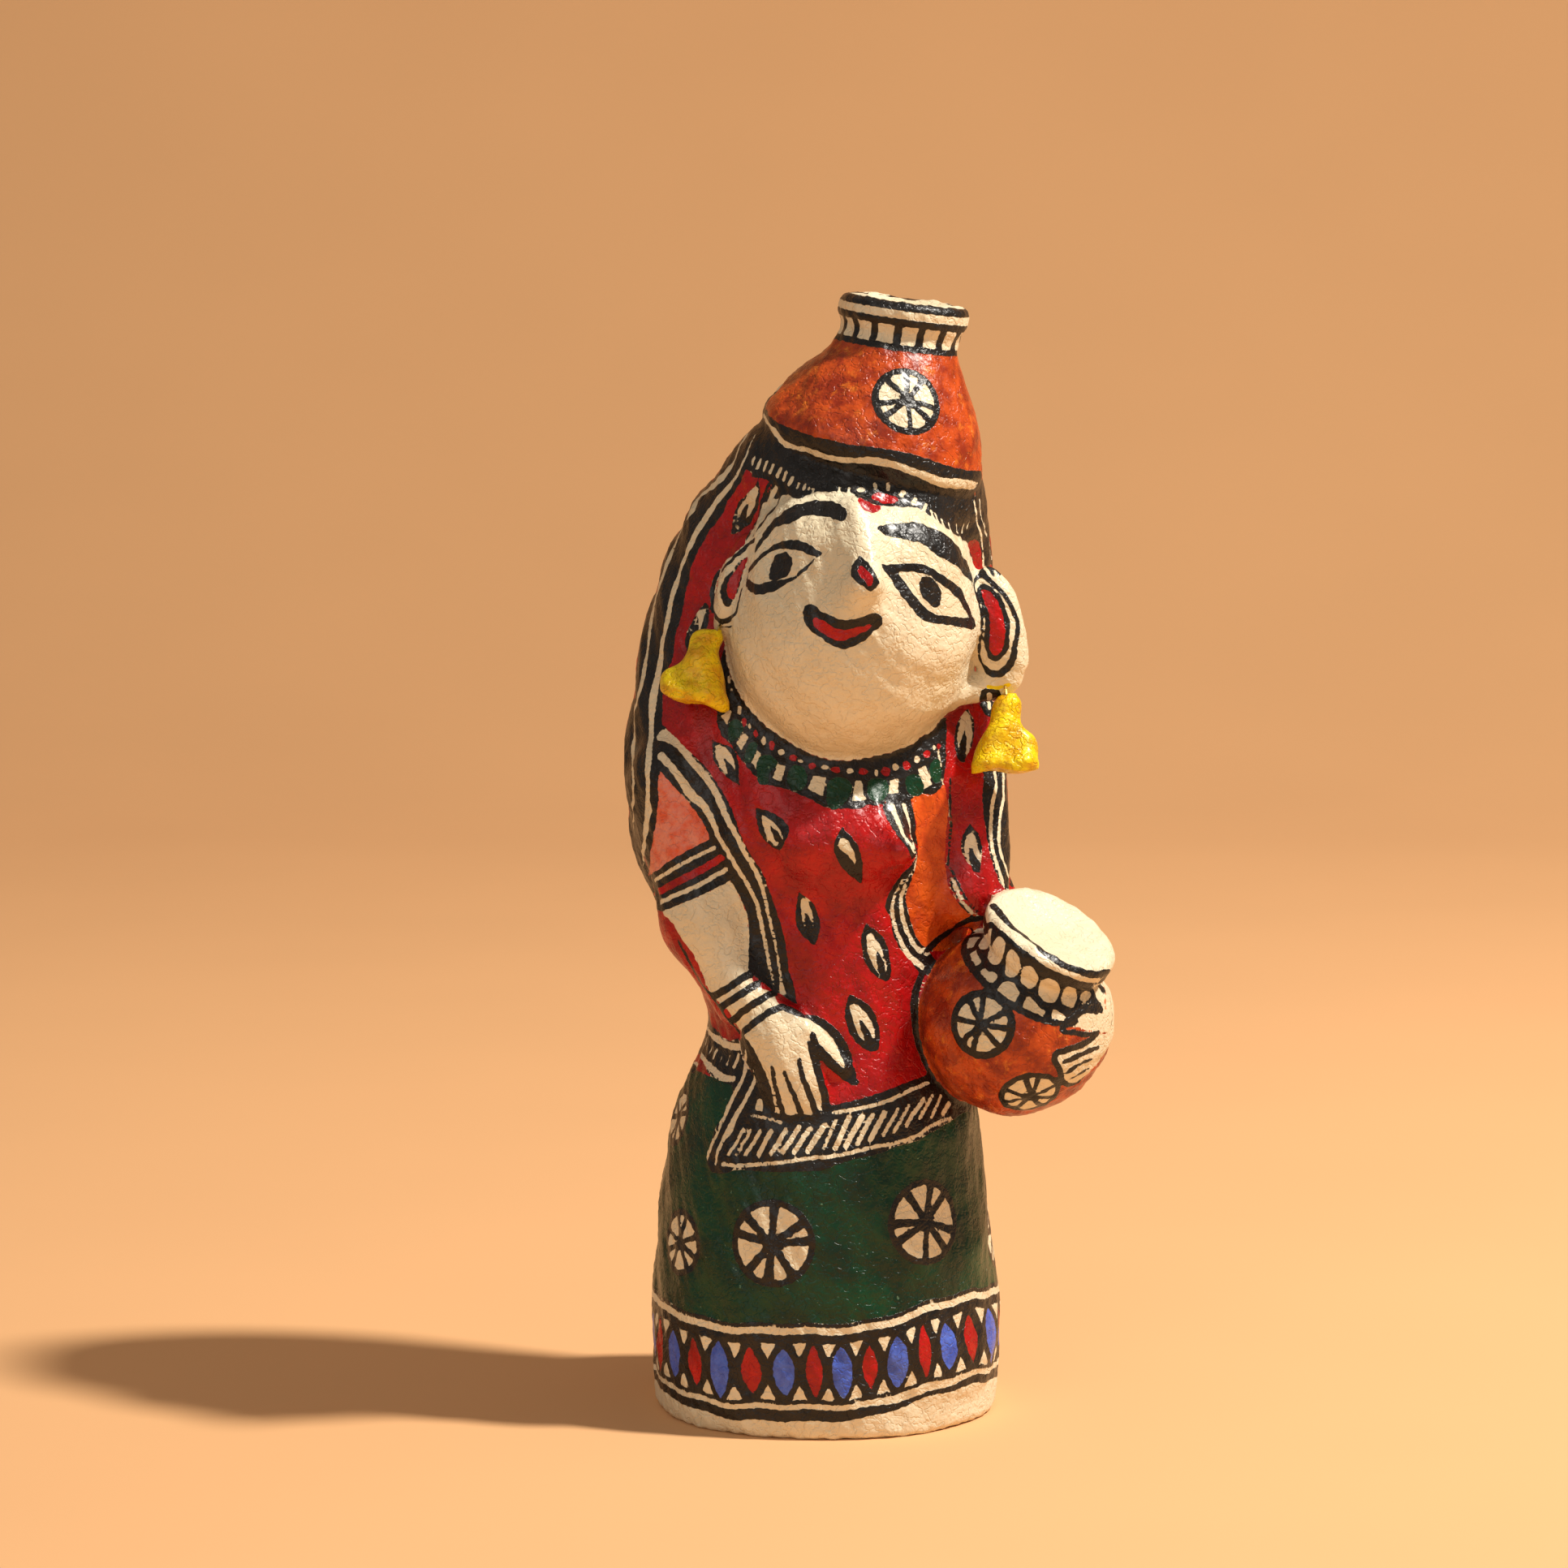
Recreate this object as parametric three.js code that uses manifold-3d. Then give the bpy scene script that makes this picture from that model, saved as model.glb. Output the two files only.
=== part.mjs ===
// A papier-mache water carrier: a woman in a veil and long skirt, with one pot on her head
// and one held at her left hip, and two pulp earrings that hang from wire rings.
// Millimetres, +Z up, her face towards -Y, the origin at the middle of the flat underside.
// The pressed pulp figure is one solid. Its shape is worked out as a field: a function that
// is negative inside the pulp, zero on its surface and about the distance to it outside.
import * as THREE from "three";
import { mergeVertices } from "three/addons/utils/BufferGeometryUtils.js";
import { SimplifyModifier } from "three/addons/modifiers/SimplifyModifier.js";
import Module from "manifold-3d";

const wasm = await Module();
wasm.setup();

// ---- driving dimensions ----
const HEAD_LEAN = 12.5; // degrees her head leans towards her left
const POT_LEAN = 19; // the same for the belly of the head pot
const NECK_LEAN = 8; // and for its neck
const ROUNDNESS = 2.15; // exponent of the gown's sections: 2 is an ellipse, more is squarer
const SLACK = 0.3; // gap around the wire of an earring
const WIRE = 0.45; // radius of that wire

// The skirt, waist, shoulders and the veil behind the head, as one mass.
// Height, left and right edge, front and back edge.
const GOWN = [
  [-8, -43, 43, -41, 41],
  [5, -44.3, 44.5, -42, 42],
  [22, -45, 45.5, -42.5, 42.5],
  [40, -44, 43.6, -41.5, 41.5],
  [60, -42, 41.3, -39.5, 39.5],
  [76, -39.2, 39.6, -37, 37],
  [87, -35.6, 37.2, -34, 34],
  [96, -31.4, 34.8, -31.5, 31.5],
  [106, -31.2, 34.4, -30.5, 30.5],
  [120, -37.2, 36, -29.5, 30],
  [134, -44, 39, -28.5, 31],
  [148, -49.8, 42.5, -27.8, 32],
  [163, -51.4, 44.6, -26.5, 33],
  [178, -50.8, 44.8, -23, 35],
  [192, -49, 43, -18, 37],
  [206, -46, 41, -15, 38],
  [220, -41, 38.5, -14, 37],
  [233, -34.6, 37.5, -14, 34],
  [245, -26, 37.5, -16, 30],
  [254, -19, 35, -16, 25],
  [260, -10, 30, -9, 18],
];
// The head pot's belly, from inside the hair to its neck: height above the line where it
// meets the hair, then half widths as above.
const HEAD_BELLY = [
  [-10, -24, 24, -22, 22],
  [-2, -28.8, 28.2, -28.6, 28],
  [2, -29.6, 28.8, -29.4, 29],
  [6, -28, 27.4, -28.2, 27.6],
  [11, -25.4, 25.6, -26, 25.4],
  [16, -22.6, 23, -23.2, 22.6],
  [21, -18.6, 19.4, -19.6, 19],
  [26, -14.6, 15.2, -15.6, 15],
  [31, -8, 9, -9, 9],
];
// Necks of the two pots: height above the middle of the belly, radius.
const HEAD_NECK = [[14, 12.5], [24, 14.4], [29, 14.8], [32.5, 15.2], [35, 16.4], [39, 16.3], [40.6, 14.2]];
const HIP_NECK = [[10, 12], [17, 14.2], [20, 14.6], [21.6, 16.2], [25, 17.3], [28, 17], [29.4, 14.8]];
// An earring, as a squashed bell: height above its rim, half width, half thickness.
const BELL = [[0, 8.2, 5.4], [1.4, 9, 6], [4.5, 8, 5.4], [9, 5.9, 4.4], [13.5, 4.3, 3.6], [17.5, 3.4, 2.9], [19.4, 2, 1.8]];

// ---- small sums ----
const sub = (a, b) => [a[0] - b[0], a[1] - b[1], a[2] - b[2]];
const dot = (a, b) => a[0] * b[0] + a[1] * b[1] + a[2] * b[2];
const cross = (a, b) => [
  a[1] * b[2] - a[2] * b[1],
  a[2] * b[0] - a[0] * b[2],
  a[0] * b[1] - a[1] * b[0],
];
const unit = (a) => a.map((x) => x / Math.hypot(...a));
const mix = (a, b, t) => a + (b - a) * t;
const clamp = (x, low, high) => Math.min(high, Math.max(low, x));

// The upright direction after leaning that many degrees towards her left.
const leaning = (degrees) => {
  const turn = THREE.MathUtils.degToRad(degrees);
  return [Math.sin(turn), 0, Math.cos(turn)];
};

// Smooth value of each column of rows at height h; column 0 holds the heights.
function spline(rows, h) {
  const last = rows.length - 1;
  let i = 0;
  while (i < last - 1 && rows[i + 1][0] < h) i++;
  const a = rows[i];
  const b = rows[i + 1];
  const before = rows[Math.max(i - 1, 0)];
  const after = rows[Math.min(i + 2, last)];
  const step = b[0] - a[0];
  const t = clamp((h - a[0]) / step, 0, 1);
  const bend = t * t * (3 - 2 * t);
  const leave = t * (1 - t) * (1 - t) * step;
  const arrive = t * t * (1 - t) * step;
  return a.map(
    (from, k) =>
      mix(from, b[k], bend) +
      (leave * (b[k] - before[k])) / (b[0] - before[0]) -
      (arrive * (after[k] - from)) / (after[0] - a[0]),
  );
}

// ---- fields ----
// Joins two fields with a fillet about as wide as k.
function blend(a, b, k) {
  const h = Math.max(k - Math.abs(a - b), 0) / k;
  return Math.min(a, b) - (h * h * k) / 4;
}

// Takes field b away from field a, with edges rounded by k.
const carve = (a, b, k) => -blend(-a, b, k);

// An ellipsoid, leaning towards her left.
function ellipsoid(centre, radii, degrees = 0) {
  const [s, , c] = leaning(degrees);
  return (p) => {
    const [x, y, z] = sub(p, centre);
    const q = [c * x - s * z, y, s * x + c * z];
    const k0 = Math.hypot(...q.map((v, i) => v / radii[i]));
    const k1 = Math.hypot(...q.map((v, i) => v / radii[i] ** 2));
    return k1 < 1e-9 ? -Math.min(...radii) : (k0 * (k0 - 1)) / k1;
  };
}

// A round-ended limb from a to b whose radius changes from ra to rb.
function limb(a, b, ra, rb) {
  const ab = sub(b, a);
  const length2 = dot(ab, ab);
  return (p) => {
    const ap = sub(p, a);
    const t = clamp(dot(ap, ab) / length2, 0, 1);
    return Math.hypot(...ap.map((v, i) => v - ab[i] * t)) - mix(ra, rb, t);
  };
}

// A stack of sections along an axis: rows of height, left, right, front and back edge.
function loft(rows, { centre = [0, 0, 0], axis = [0, 0, 1], roundness = 2 } = {}) {
  const up = unit(axis);
  const across = unit(cross([0, 1, 0], up));
  const back = cross(up, across);
  const ends = [rows[0][0], rows.at(-1)[0]];
  return (p) => {
    const q = sub(p, centre);
    const h = dot(q, up);
    const [, left, right, front, rear] = spline(rows, clamp(h, ...ends));
    const rx = (right - left) / 2;
    const ry = (rear - front) / 2;
    const u = Math.abs(dot(q, across) - (left + right) / 2) / rx;
    const v = Math.abs(dot(q, back) - (front + rear) / 2) / ry;
    const round = (u ** roundness + v ** roundness) ** (1 / roundness);
    return Math.max((round - 1) * Math.min(rx, ry), h - ends[1], ends[0] - h);
  };
}

// A pot's neck and lip: rows of height and radius, with a shallow dish for a mouth.
function neck(rows, centre, axis, dish) {
  const round = loft(rows.map(([h, r]) => [h, -r, r, -r, r]), { centre, axis });
  const top = rows.at(-1)[0];
  const up = unit(axis);
  const mouth = centre.map((c, i) => c + up[i] * (top + 1));
  return (p) => {
    const q = sub(p, mouth);
    const h = dot(q, up);
    const r = Math.sqrt(Math.max(dot(q, q) - h * h, 0));
    return carve(round(p), (Math.hypot(r / dish.radius, h / dish.depth) - 1) * dish.depth, 2);
  };
}

const gown = loft(GOWN, { roundness: ROUNDNESS });
const face = ellipsoid([6.5, -10, 205.5], [32.3, 34, 36], HEAD_LEAN);
const forehead = ellipsoid([8.5, -17, 225.5], [25, 19.5, 15], HEAD_LEAN);
const noseRidge = limb([7.5, -33, 236], [9.4, -45, 219.6], 2.4, 3.4);
const noseTip = limb([9.6, -45, 218.8], [6.5, -41, 213], 3.8, 2.8);
const hair = ellipsoid([9, 1, 237.5], [29.4, 29, 17], HEAD_LEAN);
const rightEar = ellipsoid([-23.4, -14, 215.5], [4.4, 6.5, 14], 15);
const leftEar = ellipsoid([43.4, -12, 203.6], [7.2, 5, 16.8], -9);
const earFold = limb([32, -14, 187.5], [43.5, -12.5, 190], 3, 3.2);
const headBelly = loft(HEAD_BELLY, { centre: [11.5, 1, 249], axis: leaning(POT_LEAN) });
const headNeck = neck(HEAD_NECK, [14.5, 2, 247.5], leaning(NECK_LEAN), { radius: 13, depth: 4 });
const hipBelly = ellipsoid([47.8, -20, 104.6], [24.4, 24.4, 24.2]);
const hipNeck = neck(HIP_NECK, [46.2, -20, 105.6], [0.395, -0.345, 0.852], { radius: 14, depth: 3 });
const bustLeft = limb([8, -21, 153.5], [18.6, -34.6, 150.5], 12, 3.8);
const bustRight = limb([-9, -18, 155], [-4, -27, 152], 14, 8.5);
const leftShoulder = limb([35, 0, 176], [37.6, -14, 137], 10.5, 9.4);
const upperArm = limb([-37.5, -9, 165], [-30.5, -16, 130], 13, 11);
const foreArm = limb([-30.5, -16, 130], [-21, -26, 111], 11, 7.4);
const palm = ellipsoid([-12.3, -29.6, 101.5], [9.6, 6.6, 11], -24);
const fingers = ellipsoid([-7.6, -31.8, 90.5], [8.8, 4.8, 10.5], -12);
const thumb = limb([-6, -32, 104], [3.6, -32, 94.5], 3.4, 2.2);
const elbow = limb([40, 10, 132], [50, 12, 113], 9.5, 9.5);
const reach = limb([50, 12, 113], [64, -5, 105], 9.5, 7.5);
const grip = ellipsoid([66.4, -20, 103.5], [6.6, 11, 11.5], 16);

// The whole figure's field, with the gentle unevenness of hand-pressed pulp.
function figure(p) {
  let d = gown(p);
  d = blend(d, hair(p), 7);
  const nose = blend(noseRidge(p), noseTip(p), 3);
  d = blend(d, blend(blend(face(p), forehead(p), 9), nose, 7), 2.2);
  d = blend(d, rightEar(p), 2);
  d = blend(d, blend(leftEar(p), earFold(p), 4), 3);
  d = blend(d, blend(headBelly(p), headNeck(p), 5), 1.6);
  d = blend(d, blend(bustLeft(p), bustRight(p), 12), 10);
  d = blend(d, leftShoulder(p), 3.5);
  d = blend(d, blend(upperArm(p), foreArm(p), 6), 2.5);
  d = blend(d, blend(blend(palm(p), fingers(p), 5), thumb(p), 2.5), 1.8);
  d = blend(d, blend(elbow(p), reach(p), 5), 4);
  d = blend(d, blend(hipBelly(p), hipNeck(p), 2.5), 2);
  d = blend(d, grip(p), 2.5);
  const [x, y, z] = p;
  const uneven =
    Math.sin(x * 0.21 + z * 0.13) * Math.sin(y * 0.19 - z * 0.11 + 1) +
    0.6 * Math.sin(x * 0.33 - y * 0.29 + z * 0.24);
  return d + 0.35 * uneven;
}

// One earring's field: a bell that stands on rim, squashed and creased by the fingers.
function earring({ rim, up, crease }) {
  const bell = loft(
    BELL.map(([h, wide, thick]) => [h, -wide, wide, -thick, thick]),
    { centre: rim, axis: up, roundness: 2.3 },
  );
  return (p) => {
    const [x, y, z] = sub(p, rim);
    return bell(p) + 0.5 * Math.sin(crease * x * 0.55 + z * 0.3) + 0.3 * Math.sin(y * 0.6 + z * 0.5);
  };
}

// ---- surface of a field ----
// Surface nets: one vertex in each grid cell that the surface crosses, at the mean of the
// crossings on its edges, and one quad around each grid edge that the surface crosses.
function surfaceOf(field, low, high, step) {
  const [nx, ny, nz] = low.map((l, i) => Math.ceil((high[i] - l) / step) + 1);
  const at = (i, j, k) => (k * ny + j) * nx + i;
  const place = (i, j, k) => [low[0] + i * step, low[1] + j * step, low[2] + k * step];
  const value = new Float64Array(nx * ny * nz);
  for (let k = 0; k < nz; k++)
    for (let j = 0; j < ny; j++)
      for (let i = 0; i < nx; i++) value[at(i, j, k)] = field(place(i, j, k));

  // Where two diagonal corners of a cell's side are inside and the other two are not, the
  // surface would touch itself along an edge: such a spot is filled.
  const axes = [[1, 0, 0], [0, 1, 0], [0, 0, 1]];
  for (let filled = true; filled; ) {
    filled = false;
    for (let k = 1; k < nz - 1; k++)
      for (let j = 1; j < ny - 1; j++)
        for (let i = 1; i < nx - 1; i++)
          for (const [a, b] of [[0, 1], [0, 2], [1, 2]]) {
            const [u, v] = [axes[a], axes[b]];
            const side = [
              at(i, j, k),
              at(i + u[0], j + u[1], k + u[2]),
              at(i + v[0], j + v[1], k + v[2]),
              at(i + u[0] + v[0], j + u[1] + v[1], k + u[2] + v[2]),
            ];
            const inside = side.map((n) => value[n] < 0);
            if (inside[0] !== inside[3] || inside[1] !== inside[2] || inside[0] === inside[1])
              continue;
            for (const n of side) value[n] = Math.min(value[n], -0.05);
            filled = true;
          }
  }

  const vertexOf = new Map();
  const points = [];
  for (let k = 0; k < nz - 1; k++)
    for (let j = 0; j < ny - 1; j++)
      for (let i = 0; i < nx - 1; i++) {
        const sum = [0, 0, 0];
        let crossings = 0;
        for (let n = 0; n < 3; n++)
          for (let corner = 0; corner < 4; corner++) {
            const a = [0, 0, 0];
            a[(n + 1) % 3] = corner & 1;
            a[(n + 2) % 3] = corner >> 1;
            const b = a.map((v, m) => v + axes[n][m]);
            const va = value[at(i + a[0], j + a[1], k + a[2])];
            const vb = value[at(i + b[0], j + b[1], k + b[2])];
            if (va < 0 === vb < 0) continue;
            for (let m = 0; m < 3; m++) sum[m] += mix(a[m], b[m], va / (va - vb));
            crossings++;
          }
        if (!crossings) continue;
        vertexOf.set(at(i, j, k), points.length / 3);
        place(i, j, k).forEach((from, n) => points.push(from + (sum[n] / crossings) * step));
      }

  const index = [];
  for (let k = 1; k < nz - 1; k++)
    for (let j = 1; j < ny - 1; j++)
      for (let i = 1; i < nx - 1; i++)
        for (let n = 0; n < 3; n++) {
          const inside = value[at(i, j, k)] < 0;
          if (inside === value[at(i + axes[n][0], j + axes[n][1], k + axes[n][2])] < 0) continue;
          const cell = (du, dv) => {
            const c = [i, j, k];
            c[(n + 1) % 3] -= du;
            c[(n + 2) % 3] -= dv;
            return vertexOf.get(at(...c));
          };
          const ring = [cell(1, 1), cell(0, 1), cell(0, 0), cell(1, 0)];
          if (!inside) ring.reverse();
          index.push(ring[0], ring[1], ring[2], ring[0], ring[2], ring[3]);
        }
  return new THREE.BufferGeometry()
    .setAttribute("position", new THREE.Float32BufferAttribute(points, 3))
    .setIndex(index);
}

// ---- solids ----
function solidOf(geometry) {
  const plain = geometry.clone();
  plain.deleteAttribute("normal");
  plain.deleteAttribute("uv");
  const merged = mergeVertices(plain, 1e-4);
  return new wasm.Manifold(
    new wasm.Mesh({
      numProp: 3,
      vertProperties: merged.attributes.position.array,
      triVerts: new Uint32Array(merged.index.array),
    }),
  );
}

function geometryOf(solid) {
  const { vertProperties, triVerts } = solid.getMesh();
  return new THREE.BufferGeometry()
    .setAttribute("position", new THREE.BufferAttribute(vertProperties, 3))
    .setIndex(new THREE.BufferAttribute(triVerts, 1));
}

// The solid inside a field, kept to about that many corners where they matter most.
async function pulp(field, low, high, step, corners) {
  const fine = surfaceOf(field, low, high, step);
  const surplus = fine.attributes.position.count - corners;
  return solidOf(await new SimplifyModifier().modify(fine, surplus));
}

// A closed wire ring that passes through the points a and b, in the plane they share with Y.
function ring(a, b, radius) {
  const across = unit(sub(b, a));
  const normal = unit(cross(across, [0, 1, 0]));
  const turn = new THREE.Matrix4().makeBasis(
    new THREE.Vector3(...across),
    new THREE.Vector3(...cross(normal, across)),
    new THREE.Vector3(...normal),
  );
  const middle = a.map((v, i) => (v + b[i]) / 2);
  return new THREE.TorusGeometry(Math.hypot(...sub(b, a)) / 2, radius, 6, 14)
    .applyMatrix4(turn)
    .translate(...middle);
}

const floor = new THREE.BoxGeometry(200, 200, 40).translate(0, 0, -20);
let figureSolid = (await pulp(figure, [-60, -58, -14], [84, 50, 298], 2, 4300)).subtract(
  solidOf(floor),
);

const EARRINGS = [
  { name: "right", rim: [-34.4, -22.4, 186.8], up: [0.28, 0.22, 0.93], crease: 1, lobe: [-27.2, -15.6, 205.4] },
  { name: "left", rim: [45.8, -20.4, 168.8], up: [0, 0.26, 0.96], crease: -1, lobe: [45.4, -13, 189.6] },
];

const material = (color, roughness, metalness = 0) =>
  new THREE.MeshStandardMaterial({ color, roughness, metalness });

function part(name, geometry, look) {
  const mesh = new THREE.Mesh(geometry, look);
  mesh.name = name;
  return mesh;
}

const group = new THREE.Group();
for (const bell of EARRINGS) {
  const { name, rim, up, lobe } = bell;
  const hole = rim.map((v, i) => v + unit(up)[i] * (BELL.at(-1)[0] - 3));
  const tunnel = solidOf(ring(lobe, hole, WIRE + SLACK + 0.15));
  figureSolid = figureSolid.subtract(tunnel);
  const low = rim.map((v, i) => v - [12, 12, 6][i]);
  const high = rim.map((v, i) => v + [18, 14, 28][i]);
  const solid = (await pulp(earring(bell), low, high, 1.5, 170)).subtract(tunnel);
  group.add(part(`earring_${name}`, geometryOf(solid), material(0xd9b800, 0.45)));
  group.add(part(`earring_ring_${name}`, ring(lobe, hole, WIRE), material(0xb8a24a, 0.35, 1)));
}
group.add(part("figure", geometryOf(figureSolid), material(0xe6dcc6, 0.55)));

export default group;
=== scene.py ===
"""A papier-mache water carrier, painted and varnished, as a Blender scene.

A woman in a red veil and a green skirt carries one pot on her head and one at her left hip.
Two pulp earrings hang from wire rings. The pressed pulp is worked out as a field: a function
of place that is negative inside the pulp, zero on its surface and about the distance to it
outside. Sizes in the sums are millimetres, and the finished meshes are in metres.
"""

import math

import bpy
import mathutils
import numpy as np
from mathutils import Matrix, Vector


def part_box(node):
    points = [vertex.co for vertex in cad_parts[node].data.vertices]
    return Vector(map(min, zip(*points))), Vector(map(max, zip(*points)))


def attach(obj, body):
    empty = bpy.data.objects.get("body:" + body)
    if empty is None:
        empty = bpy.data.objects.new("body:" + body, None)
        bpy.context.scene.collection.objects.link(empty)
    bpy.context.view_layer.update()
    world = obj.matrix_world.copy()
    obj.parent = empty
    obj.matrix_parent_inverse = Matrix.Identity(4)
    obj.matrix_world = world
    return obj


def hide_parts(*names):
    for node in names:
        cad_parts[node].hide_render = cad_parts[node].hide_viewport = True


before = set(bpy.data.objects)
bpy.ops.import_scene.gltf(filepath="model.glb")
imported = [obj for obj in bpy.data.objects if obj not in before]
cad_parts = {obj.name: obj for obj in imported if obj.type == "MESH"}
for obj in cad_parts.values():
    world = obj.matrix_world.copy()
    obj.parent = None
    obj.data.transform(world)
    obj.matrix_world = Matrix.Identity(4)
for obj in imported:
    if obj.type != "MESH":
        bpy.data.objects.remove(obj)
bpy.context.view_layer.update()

bl_info = {
    "name": "Papier-mache water carrier",
    "version": (1, 0, 0),
    "blender": (4, 5, 0),
    "location": "View3D > Sidebar > Water carrier",
    "description": "Builds the painted papier-mache figure, its earrings and a plain stage",
    "category": "Add Mesh",
}

MM = 0.001
MOST_TRIANGLES = 199000  # of the skin
HEAD_LEAN = 12.5  # degrees her head leans towards her left
POT_LEAN = 19  # the same for the belly of the head pot
NECK_LEAN = 8  # and for its neck
EYE = np.array([-10.8, -1400.0, 357.0])  # where the painted side is looked at from
EYE_TILT = 82.1  # degrees the camera is raised from looking straight down
LENS = 125.96
FILM = 36

# The skirt, waist, shoulders and the veil behind the head, as one mass.
# Height, left and right edge, front and back edge.
GOWN = [
    (-8, -43, 43, -41, 41),
    (5, -44.3, 44.5, -42, 42),
    (22, -45, 45.5, -42.5, 42.5),
    (40, -44, 43.6, -41.5, 41.5),
    (60, -42, 41.3, -39.5, 39.5),
    (76, -39.2, 39.6, -37, 37),
    (87, -35.6, 37.2, -34, 34),
    (96, -31.4, 34.8, -31.5, 31.5),
    (106, -31.2, 34.4, -30.5, 30.5),
    (120, -37.2, 36, -29.5, 30),
    (134, -44, 39, -28.5, 31),
    (148, -49.8, 42.5, -27.8, 32),
    (163, -51.4, 44.6, -26.5, 33),
    (178, -50.8, 44.8, -23, 35),
    (192, -49, 43, -18, 37),
    (206, -46, 43, -15, 38),
    (220, -41, 43.2, -14, 37),
    (233, -34.6, 41.2, -14, 34),
    (245, -26, 39.3, -16, 30),
    (254, -19, 35, -16, 25),
    (260, -10, 30, -9, 18),
]
# The head pot's belly: height above the hair line, then half widths as above.
HEAD_BELLY = [
    (-10, -24, 24, -22, 22),
    (-2, -28.8, 28.2, -28.6, 28),
    (2, -29.6, 28.8, -29.4, 29),
    (6, -28, 27.4, -28.2, 27.6),
    (11, -25.4, 25.6, -26, 25.4),
    (16, -22.6, 23, -23.2, 22.6),
    (21, -18.6, 19.4, -19.6, 19),
    (26, -14.6, 15.2, -15.6, 15),
    (31, -8, 9, -9, 9),
]
# Where the head pot's belly and its neck are measured from, and the same for the hip pot's neck,
# which leans outward and forward.
HEAD_BELLY_AT = (11.5, 1, 249)
HEAD_NECK_AT = (14.5, 2, 247.5)
HIP_NECK_AT = (46.2, -20, 105.6)
HIP_NECK_WAY = (0.395, -0.345, 0.852)
# Necks of the two pots: height above the middle of the belly, radius.
HEAD_NECK = [(14, 12.5), (24, 14.4), (29, 14.8), (32.5, 15.2), (35, 16.4), (39, 16.3), (40.6, 14.2)]
HIP_NECK = [(10, 12), (17, 14.2), (20, 14.6), (21.6, 16.2), (25, 17.3), (28, 17), (29.4, 14.8)]
# An earring, as a squashed bell: height above its rim, half width, half thickness.
BELL = [
    (0, 8.2, 5.4), (1.4, 9, 6), (4.5, 8, 5.4), (9, 5.9, 4.4), (13.5, 4.3, 3.6), (17.5, 3.4, 2.9),
    (19.4, 2, 1.8),
]
# Each earring: middle of its rim, upright direction, way its creases turn.
EARRINGS = {
    "right": ((-34.4, -22.4, 186.8), (0.28, 0.22, 0.93), 1),
    "left": ((45.8, -20.4, 168.8), (0, 0.26, 0.96), -1),
}


# ---- small sums ----
def unit(vector):
    """A vector divided by its length."""
    vector = np.asarray(vector, float)
    return vector / np.linalg.norm(vector)


def length(vectors):
    """Length of each vector: the root of the sum of its squares."""
    return np.sqrt((vectors * vectors).sum(-1))


def leaning(degrees):
    """The upright direction after leaning that many degrees towards her left."""
    turn = math.radians(degrees)
    return np.array([math.sin(turn), 0, math.cos(turn)])


def spline(rows, h):
    """Smooth value of each column of rows at heights h: a cubic whose slope at a row is that
    of the line between the rows on each side of it."""
    rows = np.asarray(rows, float)
    last = len(rows) - 1
    h = np.clip(h, rows[0, 0], rows[-1, 0])
    i = np.clip(np.searchsorted(rows[:, 0], h) - 1, 0, last - 1)
    a, b = rows[i], rows[i + 1]
    before, after = rows[np.maximum(i - 1, 0)], rows[np.minimum(i + 2, last)]
    step = b[:, :1] - a[:, :1]
    t = (h[:, None] - a[:, :1]) / step
    bend = t * t * (3 - 2 * t)
    leave = t * (1 - t) ** 2 * step * (b - before) / (b[:, :1] - before[:, :1])
    arrive = t * t * (1 - t) * step * (after - a) / (after[:, :1] - a[:, :1])
    return a + (b - a) * bend + leave - arrive


# ---- fields ----
def blend(a, b, k):
    """Joins two fields with a fillet about as wide as k."""
    h = np.maximum(k - np.abs(a - b), 0) / k
    return np.minimum(a, b) - h * h * k / 4


def carve(a, b, k):
    """Takes field b away from field a, with edges rounded by k."""
    return -blend(-a, b, k)


def ellipsoid(p, centre, radii, degrees=0):
    """An ellipsoid, leaning towards her left."""
    s, _, c = leaning(degrees)
    x, y, z = (p - centre).T
    q = np.stack([c * x - s * z, y, s * x + c * z], -1)
    k0 = length(q / radii)
    k1 = length(q / np.square(radii))
    return k0 * (k0 - 1) / np.maximum(k1, 1e-9)


def limb(p, a, b, ra, rb):
    """A round-ended limb from a to b whose radius changes from ra to rb."""
    a, b = np.asarray(a, float), np.asarray(b, float)
    t = np.clip((p - a) @ (b - a) / ((b - a) @ (b - a)), 0, 1)
    return length(p - a - t[:, None] * (b - a)) - (ra + (rb - ra) * t)


def loft(p, rows, centre=(0, 0, 0), axis=(0, 0, 1), roundness=2.0):
    """A stack of sections along an axis: rows of height, left, right, front and back edge."""
    up = unit(axis)
    across = unit(np.cross([0, 1, 0], up))
    q = p - centre
    h = q @ up
    _, left, right, front, rear = spline(rows, h).T
    rx, ry = (right - left) / 2, (rear - front) / 2
    u = np.abs(q @ across - (left + right) / 2) / rx
    v = np.abs(q @ np.cross(up, across) - (front + rear) / 2) / ry
    ring = (u**roundness + v**roundness) ** (1 / roundness)
    side = (ring - 1) * np.minimum(rx, ry)
    return np.maximum(side, np.maximum(h - rows[-1][0], rows[0][0] - h))


def neck(p, rows, centre, axis, radius, depth):
    """A pot's neck and lip, with a shallow dish of that radius and depth for a mouth."""
    tube = loft(p, [(h, -r, r, -r, r) for h, r in rows], centre, axis)
    q = p - centre - unit(axis) * (rows[-1][0] + 1)
    h = q @ unit(axis)
    r = np.sqrt(np.maximum((q * q).sum(-1) - h * h, 0))
    return carve(tube, (np.hypot(r / radius, h / depth) - 1) * depth, 2)


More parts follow.
